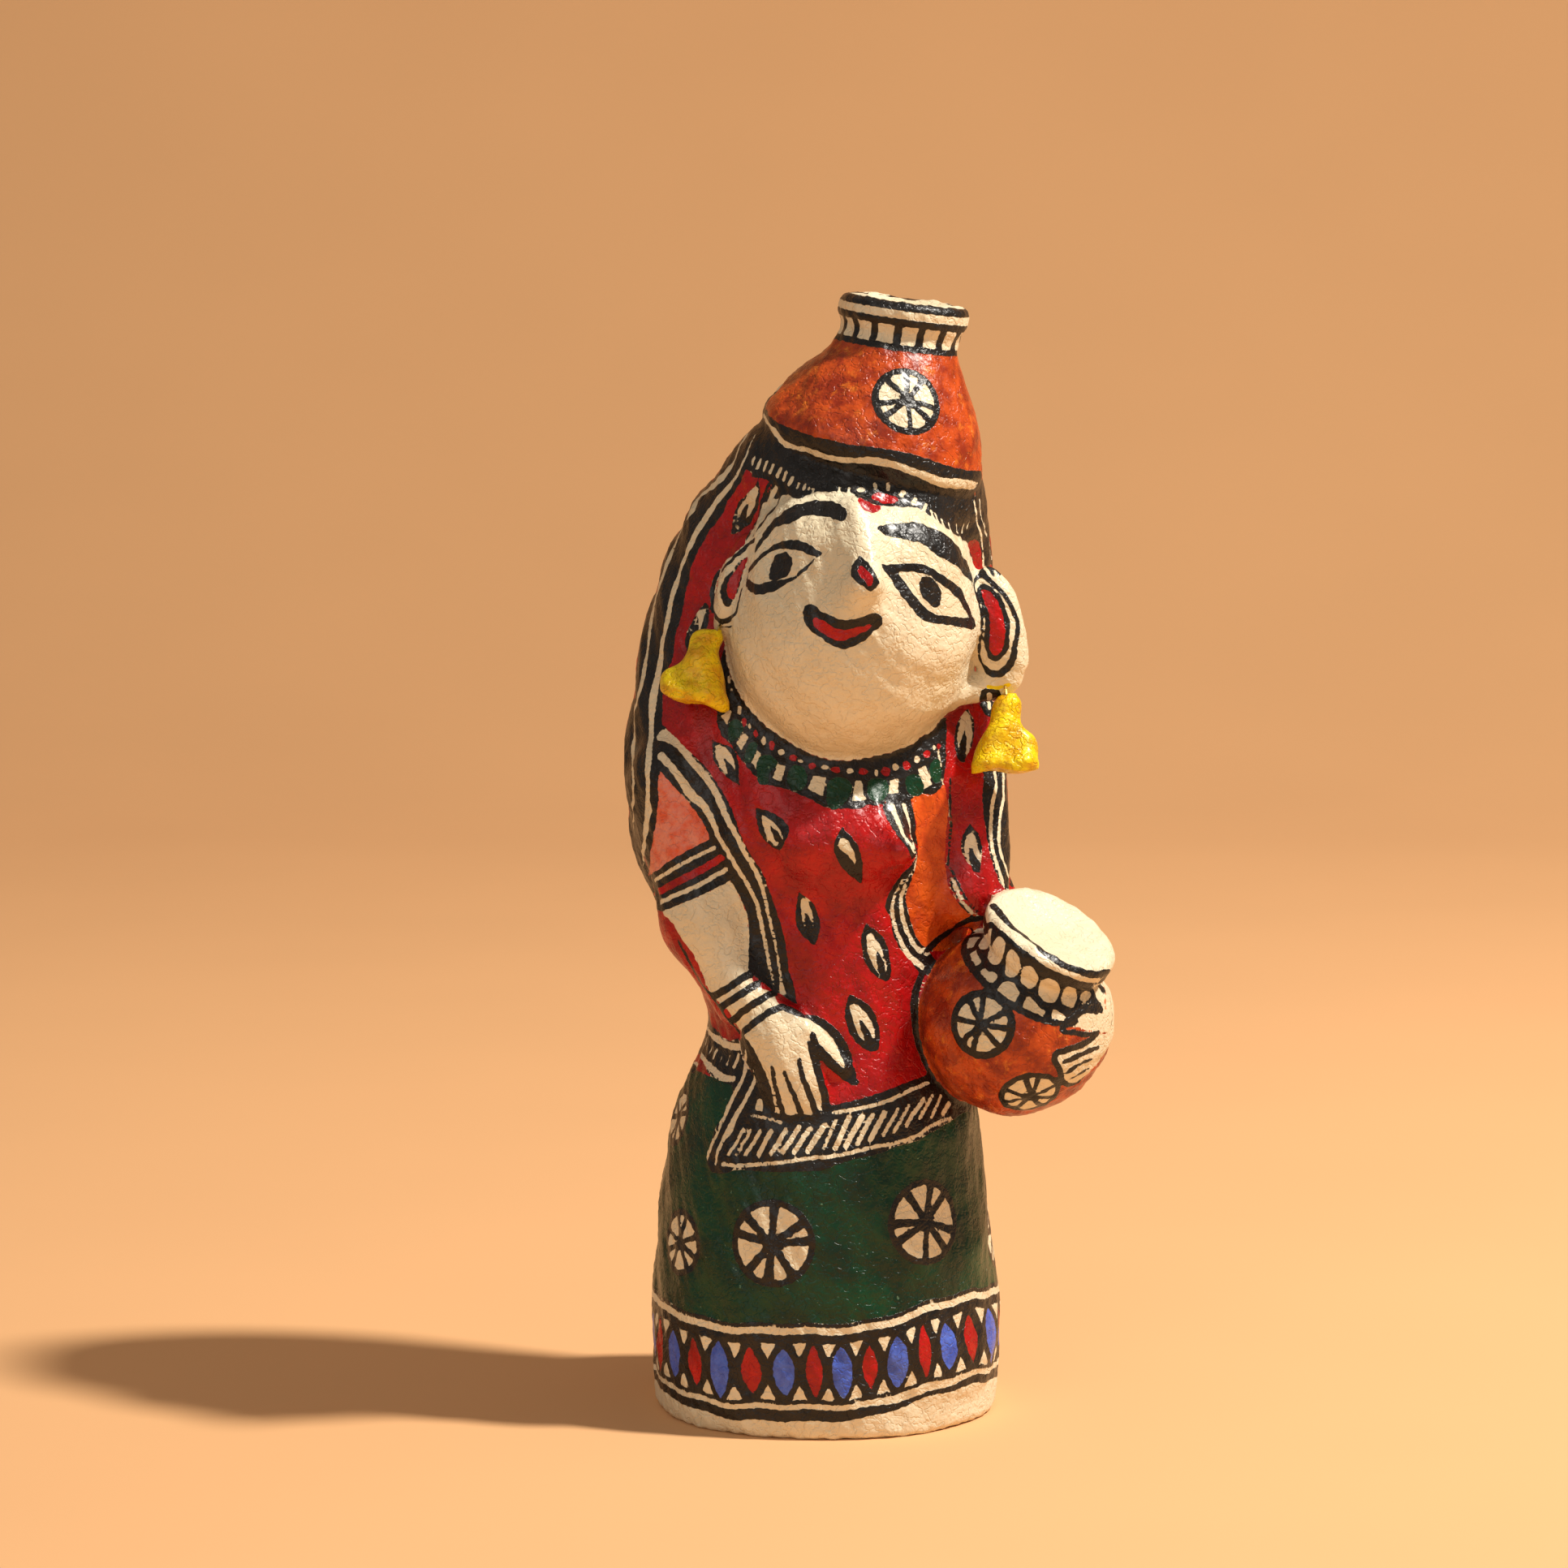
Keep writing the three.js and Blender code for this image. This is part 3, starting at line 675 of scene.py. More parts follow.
    drape_ink = [
        (15, 157.4), (15.8, 153.7), (17.9, 149.9), (20.4, 147), (21.9, 144.1), (22.1, 142), (20, 139.5),
        (17.5, 136.2), (15.8, 132.8), (15.4, 130), (16.7, 128.3), (17.3, 123.8), (19.2, 119.6), (22.5, 115.8),
        (24.8, 112.9), (29, 114), (26.3, 119.6), (23.8, 122.1), (22.5, 125.4), (21.3, 129.6), (20.8, 132.4),
        (21, 134.9), (22.5, 138.3), (23.5, 142), (23.7, 146.2), (23.3, 149.9), (22.9, 153.7), (22.1, 157.4),
        (21.5, 160),
    ]
    panel = [
        (26.3, 119.6), (23.8, 122.1), (22.5, 125.4), (21.3, 129.6), (20.8, 132.4), (21, 134.9), (22.5, 138.3),
        (23.5, 142), (23.7, 146.2), (23.3, 149.9), (22.9, 153.7), (22.1, 157.4), (21.5, 160.5), (21.5, 160.5),
        (25, 161.5), (30.3, 164), (30.3, 164), (31.3, 159.9), (31.5, 154.5), (31, 148.3), (30.8, 142.8),
        (31.3, 138.7), (32.1, 134.9), (34.2, 132), (36.3, 130.3), (40, 128), (40, 126), (35, 122), (30, 119),
    ]
    right_border = [
        (40.6, 168), (40.6, 164.9), (40.4, 160.8), (40.6, 156.6), (41, 152.4), (41.7, 148.3), (42.5, 144.1),
        (43.8, 139.9), (45.4, 136.2), (48.6, 134), (49.6, 138.3), (48.6, 144.1), (48, 148.3), (48.4, 156.6),
        (48.6, 162.8), (48.6, 168),
    ]
    right_white = [
        [
            (43.5, 166), (43.8, 162.8), (43.1, 158.7), (42.7, 154.5), (42.6, 150.3), (43.1, 146.2),
            (44.2, 142), (45.2, 138.7), (46, 136.4),
        ],
        [
            (45.6, 166), (45.6, 162.8), (45.7, 158.7), (45, 154.5), (44.6, 150.8), (44.8, 147), (45.6, 143.7),
            (46.6, 140.8), (47.4, 137.8),
        ],
    ]
    lining = [
        (-21.7, 241.2), (-14.2, 240.5), (-16.3, 235.8), (-17.5, 231.6), (-18.8, 228.7), (-20, 225.8),
        (-22.5, 223.3), (-26.3, 220), (-28.8, 216.7), (-29.6, 213.3), (-29.8, 210), (-31, 203),
        (-38.6, 201.7), (-36.3, 210.8), (-33.2, 222), (-29.4, 228.8), (-24.8, 236.3),
    ]
    strokes = [Skirt(), Area("red", hem + top), Area("red", lining), Area("ink", border)]
    strokes += [Line("cream", points) for points in side]
    strokes += [Area("cream", [(-12, 109), (-11.2, 110.4), (-10, 106.5), (-10, 106.5)])]
    strokes += [Area("ink", drape_ink), Area("orange", panel)]
    strokes += [Line("cream", points) for points in drape]
    strokes += [
        Line("ink", [(32.1, 164), (32, 159), (32.2, 152), (31.9, 146), (31.4, 141.5)], 0.35),
        Line("ink", [(32, 138.2), (33.2, 134.4), (35, 131.3), (37.2, 129), (40, 127)], 0.3),
        Line("ink", [(32, 141), (33.6, 138), (35.4, 134.2), (37, 131.6), (39.4, 129.4)], 0.35),
        Line("ink", [
            (26.3, 119.6), (29.2, 122.1), (32.1, 124.2), (35, 126.2), (38.3, 127.5), (42.3, 127.5),
        ], 0.9),
        Area("ink", right_border),
        Area("ink", [(40, 187), (44.5, 187), (44.5, 180.5), (40.6, 181)]),
        Line("cream", [(42.1, 186), (41.9, 182.6)], 0.65),
    ]
    strokes += [Line("cream", points, 0.55) for points in right_white]
    strokes += [Area("ink", band + hem[:0:-1])]
    strokes += [Line("cream", points, 0.5) for points in white]
    strokes += [Area("cream", [(-17, 80.2), (-16.1, 76.7), (-16.1, 76.7), (-18.6, 77.1), (-18.6, 77.1)])]
    return strokes + bars("cream", hatch)


def leaf_paint():
    """The leaves on the veil and the bodice."""
    leaves = [
        (
            [
                (-17.3, 241), (-16.9, 238.3), (-17.3, 234.9), (-18.3, 232), (-19.6, 229.9), (-21.7, 228.3),
                (-24.6, 226.6), (-24.6, 226.6), (-24, 229.5), (-23.5, 232.8), (-22.1, 235.8), (-19.6, 238.3),
                (-17.3, 241),
            ],
            [
                (-18, 239.5), (-18.1, 235.8), (-19.2, 232.8), (-21.7, 229.9), (-23.1, 228.5), (-22.9, 230.8),
                (-22.5, 233.7), (-20.4, 236.6),
            ],
            ((-20, 235.3), (-22, 230)),
        ),
        (
            [
                (-31.1, 210), (-31.1, 210), (-34, 205.4), (-36.3, 200.4), (-35.7, 197), (-35.7, 197),
                (-30.9, 202.5), (-30, 208.3),
            ],
            [(-31.3, 208.5), (-31.5, 205.4), (-33, 201.25), (-34.8, 200.8), (-34, 203.75)],
            ((-32.75, 205.6), (-34.4, 199.2)),
        ),
        (
            [
                (-29.3, 174.1), (-29.3, 174.1), (-23.4, 171.2), (-22.3, 162.4), (-22.3, 162.4),
                (-25.5, 164.5), (-28.8, 168.7),
            ],
            [
                (-28.6, 173), (-28.6, 173), (-26.3, 172.4), (-24.3, 170.3), (-23.5, 166.2), (-25.5, 165.2),
                (-28, 168.7),
            ],
            ((-26.1, 169.2), (-23.2, 164)),
        ),
        (
            [
                (-18.2, 156.6), (-18.2, 156.6), (-12.6, 154.6), (-9.5, 150.8), (-11.8, 145.3), (-11.8, 145.3),
                (-15.4, 147.6), (-17.4, 151.2),
            ],
            [(-16.8, 154.9), (-16.8, 154.9), (-13.8, 153), (-11.1, 149.1), (-12.4, 146.6), (-15.5, 149.5)],
            ((-14.3, 151.6), (-11.6, 147.4)),
        ),
        (
            [
                (-6.9, 134.6), (-6.9, 134.6), (-3.8, 132.2), (-2, 128.7), (-1.5, 124.6), (-2.8, 120.4),
                (-2.8, 120.4), (-6.2, 123.4), (-7.8, 126.8), (-7.6, 130.6),
            ],
            [(-5.9, 132.9), (-3.8, 130), (-3.2, 124.2), (-5.1, 124.4), (-6.3, 129.2)],
            ((-5.3, 129.4), (-3.5, 122.6)),
        ),
        (
            [
                (4.2, 151.6), (4.2, 151.6), (8.1, 147), (9.4, 142), (9.3, 136.4), (9.3, 136.4), (5.4, 139.6),
                (2.7, 143.6), (2.1, 147.4),
            ],
            [(4.4, 148.7), (6.7, 146.2), (7.7, 142.8), (7.5, 141), (5.8, 144.1), (3.3, 146.2)],
            ((4.8, 144.5), (7.9, 139.4)),
        ),
        (
            [
                (36.3, 182.6), (36.3, 182.6), (38.1, 179.4), (38, 175), (36.8, 171), (34.8, 167.8),
                (34.8, 167.8), (33.4, 171.4), (33.2, 175.8), (34.2, 179.6),
            ],
            [(36, 181.6), (37.5, 176.6), (37.1, 172.8), (35.6, 169.7), (33.9, 173.7), (34.4, 177.8)],
            ((35.6, 176.6), (35.1, 169.2)),
        ),
        (
            [
                (37.1, 152.4), (37.1, 152.4), (39.4, 149.4), (40.3, 145.4), (39.8, 139.1), (39.8, 139.1),
                (36.6, 142.2), (34.9, 145.8), (35.3, 149.4),
            ],
            [(37.3, 150.1), (39, 147), (39.2, 141.3), (35.9, 144.5)],
            ((37.1, 146.4), (38.8, 140.6)),
        ),
        (
            [
                (10.4, 126.3), (10.4, 126.3), (15, 122.5), (16.7, 116.7), (16.7, 112.1), (15, 111.3),
                (10.8, 115), (9.3, 120), (9.4, 123.6),
            ],
            [(11.1, 123.8), (13.3, 121.7), (14.8, 118.8), (15.2, 112.7), (11.7, 116.7), (10.7, 120.6)],
            ((13.3, 119), (14.8, 113.2)),
        ),
        (
            [
                (6, 107.9), (6, 107.9), (9.2, 106.3), (12.1, 103.8), (14, 98.3), (13.8, 92.9), (13.8, 92.9),
                (10.8, 92.9), (6.7, 96.7), (5, 102.5),
            ],
            [(6.7, 105.2), (10, 103.3), (12.1, 100), (12.5, 96), (9.4, 96), (7.1, 101.3)],
            ((8.8, 101.3), (11.7, 95)),
        ),
    ]
    return [stroke for parts in leaves for stroke in leaf(*parts)]


def necklace_paint():
    """Three rows under the chin: red and cream seeds, then green and cream beads."""
    strokes = [
        Area("ink", [
            (-25, 199), (-20, 194), (-14, 182), (0, 176), (16, 176), (26, 179), (31, 180), (31, 180),
            (30.8, 168), (30.4, 162.8), (30.4, 162.8), (29.6, 161.6), (27.5, 160.1), (25, 160.1),
            (21.7, 158.9), (19.2, 158.7), (15.8, 158.3), (13.3, 157), (10.8, 157.4), (8.3, 156.2),
            (4.2, 156.4), (1.3, 156.2), (-1.7, 157.4), (-4.6, 159.1), (-7.5, 160.3), (-9.7, 161.2),
            (-13, 162), (-16.3, 163), (-18.4, 164.9), (-20.5, 167.4), (-22.6, 170.3), (-25.1, 173.7),
            (-26.8, 175.3), (-28, 179.5), (-27.4, 188),
        ], ("gown", "bust", "left_shoulder")),
    ]
    cream = [
        [(-27, 180.3), (-24.7, 182.2), (-24.2, 181), (-25.7, 178.3)],
        [(-20.9, 176.3), (-20, 174.9), (-21.8, 171.4), (-23, 173.3)],
        [(-17.6, 171.5), (-16.8, 170.5), (-18, 166.8), (-19.2, 168.3)],
        [(-12.4, 168), (-10.4, 167.4), (-11.5, 163.3), (-13.8, 164.1)],
        [(-3.3, 164.9), (0, 164.5), (-0.8, 159.5), (-4.8, 161.4)],
        [(7.7, 163.7), (9.2, 163.6), (9.8, 159.9), (10.6, 158.7), (6.7, 158.3), (7.1, 161)],
        [(16.5, 163.9), (18.8, 164.1), (18.7, 160.3), (16.5, 160.3)],
        [(23.8, 166.6), (25.8, 167.6), (27.4, 162.6), (25.2, 161.4)],
    ]
    green = [
        [(-24.7, 178.7), (-23, 179.5), (-21.3, 177.8), (-22.2, 175.3), (-24.3, 173.7), (-25.3, 175.3)],
        [(-19.3, 173.7), (-17.6, 172.8), (-19.7, 168.3), (-21.1, 169.1)],
        [(-16.8, 169.9), (-12.6, 168.7), (-14.7, 165.3), (-15.1, 162.8), (-17.4, 163.3)],
        [
            (0.6, 163.3), (3.75, 164.5), (6.5, 162.8), (6, 159.5), (4.2, 157.4), (2.1, 156), (0.4, 157.4),
            (0.2, 159.5),
        ],
        [(10.8, 163.3), (13.3, 164.3), (15.8, 163.3), (16, 160.3), (13.8, 158), (11.3, 159.1)],
        [(20.8, 164.5), (23.3, 165.3), (25, 162.8), (24.6, 160.1), (21.7, 159.9), (20.6, 162.4)],
        [(26.9, 167.8), (29, 169.1), (29.8, 165.3), (29.4, 163.3), (27.7, 163.3)],
    ]
    strokes += [Area("cream", [point for point in bead for _ in (0, 1)]) for bead in cream]
    strokes += [Area("green", bead) for bead in green] + dots("green", [(-7.4, 164.3, 2.6, 3.4)])
    strokes += dots("red", [
        (-21.1, 178.9, 0.6, 1.2), (-18.1, 175.8, 0.6, 1.1), (-14, 172.8, 0.75, 1.3), (-8.5, 169.5, 1, 0.85),
        (-3.6, 167.4, 1, 0.85), (2.5, 166.4, 1.2, 0.9), (9.6, 166, 1.2, 0.9), (15.4, 166, 1.15, 1.25),
        (20.8, 167.6, 1, 1.25), (26, 170.5, 1, 0.95), (29, 172.6, 0.6, 0.7),
    ])
    strokes += dots("cream", [
        (-22.3, 182, 0.5, 1.3), (-19.7, 177.8, 0.4, 0.9), (-16.1, 174, 0.65, 1.2), (-11.5, 171, 0.9, 0.8),
        (-6.5, 168.7, 0.65, 0.55), (-0.2, 167.1, 0.95, 0.65), (6.2, 166.1, 0.95, 0.7),
        (12.9, 165.7, 0.5, 0.8), (17.9, 167.1, 0.8, 1), (23.5, 169.1, 0.8, 0.9), (27.8, 172, 0.35, 1),
        (-24.9, 189.7, 0.4, 1), (-24.2, 187, 0.3, 0.5),
    ])
    return strokes + bars("cream", [((29, 171.2), (29.6, 167.4), 0.3), ((30.2, 164.1), (30.4, 162.8), 0.3)])


def hair_paint():
    """The hair line under the head pot, with its row of cream ticks, and what frames the face."""
    strokes = [
        # The ink's upper edge runs 2 to 4 mm above the cream line onto the pot's foot. That black band is
        # partly the pot's paint and partly painted shadow under its overhanging belly.
        Area("ink", [
            (-17.3, 257.4), (-17.3, 255.3), (-18.1, 252), (-19.6, 248.3), (-21.3, 244), (-21.3, 244),
            (-20, 243.7), (-14.2, 240.8), (-13.8, 239.7), (-10.8, 238.3), (-8.3, 236.6), (-6.3, 236.6),
            (-4.6, 237.4), (-2.5, 238), (0.4, 238.5), (3.3, 238.3), (7.1, 237.6), (8.3, 236.2), (13.5, 234.8),
            (20, 234.3), (23.3, 234.1), (25.8, 232.4), (28.3, 230.8), (30.4, 229.1), (32.5, 227.8),
            (34.6, 226.2), (35.2, 225.5), (35.2, 225.5), (36.7, 227.8), (37.5, 231.2), (37.7, 233.7),
            (37.9, 237.4), (39, 240), (41.5, 243.3), (41.5, 243.3), (36.7, 243.7), (32.5, 244.5),
            (28.3, 245.8), (24.2, 247.2), (18.3, 248.7), (15, 249.1), (11.7, 249.7), (5.4, 250.3),
            (0.4, 251.6), (-3.3, 252.4), (-7.5, 253.9), (-11.2, 255.3), (-14.4, 257.4), (-16.5, 260.5),
        ]),
        Line("cream", [
            (-16.5, 259, 0.5), (-15.2, 256, 0.8), (-13.2, 253.6, 1), (-10.6, 250.6, 0.9), (-7.7, 249.5, 0.6),
            (-4, 248.6, 0.9), (-0.6, 247.2, 0.9), (5, 246.3, 0.8), (10.2, 246.2, 0.9), (14, 245.7, 1.1),
            (18.3, 244.8, 0.9), (22, 243.4, 0.9), (25.8, 242, 1.1), (29.6, 240.5, 1.3), (33.8, 240.2, 1.4),
            (39.6, 239.6, 0.9),
        ]),
    ]
    ticks = [
        ((-18.95, 245.2), (-18.25, 247), 0.5), ((-17.6, 244.3), (-16.8, 246.3), 0.5),
        ((-15.9, 243.7), (-15.1, 245.7), 0.5), ((-14.4, 243), (-13.6, 245), 0.55),
        ((-12.5, 242.1), (-11.7, 244.1), 0.6), ((-11, 241.3), (-10.2, 243.1), 0.55),
        ((-9.4, 240.1), (-8.6, 241.7), 0.55), ((-7.4, 239.3), (-6.9, 240.5), 0.35),
        ((-5.8, 238.8), (-5.4, 239.8), 0.4), ((-4.6, 238.5), (-4.3, 239.3), 0.3),
        ((-3.4, 238), (-3.2, 238.8), 0.3), ((3.3, 238), (3.4, 239.2), 0.3), ((5.8, 237.9), (5.9, 239.1), 0.3),
        ((12.5, 239), (12.5, 240.2), 0.5), ((15.8, 238.7), (15.8, 240.3), 0.5),
        ((19.2, 237.3), (19.8, 238.1), 0.65), ((22.2, 235.3), (22.8, 236.2), 0.6),
        ((24.9, 233.2), (25.5, 234.7), 0.45), ((26.7, 233.3), (27.4, 231.5), 0.4),
        ((27.9, 232.6), (28.7, 230.6), 0.4), ((29.6, 231), (30.4, 228.9), 0.4),
        ((31.4, 230.2), (32, 228), 0.4), ((33.3, 229.7), (33.4, 227.7), 0.4),
        ((35.2, 229.7), (34.8, 227.7), 0.4), ((36.8, 230.7), (36.2, 228.8), 0.4),
        ((37.6, 231), (37.2, 229), 0.3),
    ]
    strokes += bars("cream", ticks) + dots("cream", [(9, 238.7, 1.15, 0.6)])
    strokes += [
        Area("ink", [
            (11, 237.1), (12.6, 238.5), (15, 238.5), (17.9, 237.6), (19.4, 236.1), (16, 234.4), (13, 235.2),
        ]),
        Area("red", [
            (11.5, 236.8), (12.9, 237.8), (15, 237.8), (17.5, 237), (18.5, 236), (15.8, 235.1), (13.3, 235.8),
        ]),
        Area("red", [
            (8.3, 236.4), (9.6, 236.2), (11.7, 235.1), (14, 234.3), (12.5, 233), (10.6, 233.3), (8.8, 234.9),
        ]),
        Line("ink", [(-11, 238.7), (-12.5, 235.3), (-15, 232), (-17.6, 228.6), (-19.4, 225.6)], 0.6),
        Line("ink", [(-14.4, 240.6), (-16.2, 236.2), (-17.4, 232), (-18.9, 228.8), (-20.4, 225.8)], 0.5),
        Line("cream", [
            (-12.8, 239.2, 0.75), (-15, 234.9, 0.7), (-16.7, 231.2, 0.6), (-17.9, 228.3, 0.5),
            (-18.9, 225.8, 0.4),
        ]),
    ]
    return strokes


def face_paint():
    """Brows, eyes, nose mark and mouth, then both ears."""
    right_eye = [
        (-20.8, 215), (-20.2, 217.1), (-19.4, 219.2), (-17.5, 221.5), (-15, 223.5), (-12.1, 225.2),
        (-8.3, 225.8), (-5.8, 225.4), (-3.3, 224), (-1.7, 222.9), (-0.9, 222.3), (-0.9, 222.3), (-1.7, 221.5),
        (-3.3, 220), (-5.8, 217.5), (-8.3, 215.6), (-10.4, 214.4), (-12.5, 212.9), (-15, 212.1),
        (-17.5, 211.7), (-19.6, 212.7), (-20.7, 214.2),
    ]
    right_white = [
        (-20.1, 216.3), (-19, 218.3), (-17.5, 220), (-16.7, 221), (-14.2, 222.7), (-11.7, 223.5),
        (-8.3, 223.3), (-5.8, 222.7), (-4.2, 221.9), (-1.9, 221.5), (-1.9, 221.5), (-3.75, 220.4),
        (-6.2, 218.3), (-8.3, 216.5), (-10.4, 215.8), (-12.9, 215.3), (-15, 215), (-17.1, 214.4),
        (-18.6, 214.8),
    ]
    left_eye = [
        (14, 219.6), (14, 219.6), (15.8, 219.5), (18.8, 219.7), (22.9, 219.8), (25.8, 219.2), (28.3, 217.9),
        (31.3, 215.8), (34.2, 213.8), (35.4, 211.3), (36.7, 208.3), (37.7, 206.3), (38.3, 204.6),
        (37.9, 202.9), (35.8, 203.1), (32.5, 203.8), (29.2, 204.2), (26.7, 204.6), (24.2, 205.6),
        (22.5, 207.5), (20.4, 210), (18.8, 212.1), (17.1, 214.6), (15.8, 216.9), (14.6, 218.3),
    ]
    left_white = [
        (18.4, 217.5), (18.4, 217.5), (20.8, 217.7), (24.2, 217.3), (26.7, 216.5), (29.2, 214.6),
        (32.1, 212.5), (34.2, 210), (35.8, 207.5), (36.9, 205.8), (36.9, 205.8), (34.2, 205.9), (30.8, 206.3),
        (28.3, 206.7), (25.8, 208.1), (24.2, 210), (22.5, 211.7), (20.8, 214.2),
    ]
    return [
        Area("ink", [
            (-19.6, 220.6), (-19.2, 222.2), (-18.3, 223.7), (-16.3, 227.1), (-15, 229.2), (-12.5, 231.7),
            (-9.2, 234.2), (-5.8, 235.4), (-2.5, 236), (0.8, 235.8), (3.8, 234.8), (5.4, 232.9), (5, 231.3),
            (4.2, 230.6), (2.5, 231), (0.4, 231.7), (-2.5, 232.1), (-5.8, 231.9), (-8.3, 230.4),
            (-11.7, 229.6), (-13.3, 228.8), (-15, 226.7), (-16.7, 224.6), (-18.3, 222.5), (-19.6, 220.6),
        ]),
        Area("ink", [
            (13.1, 229), (14.2, 229.5), (16.3, 230), (19.2, 230.2), (22.5, 230.3), (25, 229.8), (28.3, 228.3),
            (31.3, 226.7), (32.9, 225), (34.6, 223.3), (35, 221.7), (36.3, 219.6), (37.1, 217.5),
            (37.4, 215.8), (37.7, 213.3), (37.7, 213.3), (37.3, 215), (36.3, 215.8), (35, 217.3),
            (33.8, 218.8), (31.9, 220), (29.2, 221.5), (26.7, 223.3), (24.2, 225), (20.8, 225.8),
            (17.9, 226.5), (15.4, 226.9), (13.8, 227.9),
        ]),
        Area("ink", right_eye),
        Area("cream", right_white),
        Area("ink", [
            (-10.2, 222.7), (-9, 221.3), (-8.7, 219.6), (-9.2, 217.9), (-10.2, 216.5), (-12.1, 215.8),
            (-14.2, 215.6), (-14.5, 217.5), (-14.2, 219.6), (-13.3, 221.3), (-11.9, 222.4),
        ]),
        Area("ink", left_eye),
        Area("cream", left_white),
        Area("ink", [
            (25, 216.5), (26.7, 216.1), (28.3, 214.8), (29.5, 212.5), (29.4, 210), (28.8, 208.6),
            (27.7, 208.4), (26.3, 209.6), (24.8, 211.3), (24.1, 212.9), (24.1, 215),
        ]),
        Area("ink", [
            (8.5, 221.9), (8.5, 221.9), (10, 220.8), (12.1, 217.9), (13.5, 215.2), (12.9, 213.8),
            (11.5, 212.5), (10.2, 213.4), (8.3, 214.6), (6.7, 216.3), (6.3, 217.3), (6.8, 219.6),
        ]),
        Area("red", [
            (9, 219.4), (10.2, 218.3), (11.7, 216.5), (12.1, 215), (11, 213.8), (10.2, 215), (9.2, 216),
            (8.1, 217.5), (8.3, 218.8),
        ]),
        Area("ink", [
            (-4.4, 209.3), (-2.9, 209), (-1.7, 207.7), (0.4, 206.7), (2.9, 205.6), (5.4, 205.3), (8.3, 205.6),
            (10.4, 206.5), (12.3, 207.1), (13.5, 206.7), (14.4, 205.4), (14.2, 203.8), (12.1, 202.1),
            (10, 200), (7.5, 198.7), (5, 197.7), (2.5, 198.3), (0, 199.6), (-1.7, 201), (-3.8, 202.3),
            (-5.4, 204.4), (-6, 206.7), (-5.6, 208.7),
        ]),
        Area("red", [
            (-3.1, 205.8), (-1.7, 205.4), (0.4, 204.4), (2.5, 203.1), (5, 202.7), (7.9, 203.3), (10.8, 204),
            (11.7, 203.7), (10, 202.3), (7.9, 201.2), (5.4, 200.2), (3.3, 199.8), (0.8, 200.8), (-1.7, 202.3),
            (-3.1, 203.8),
        ]),
    ]


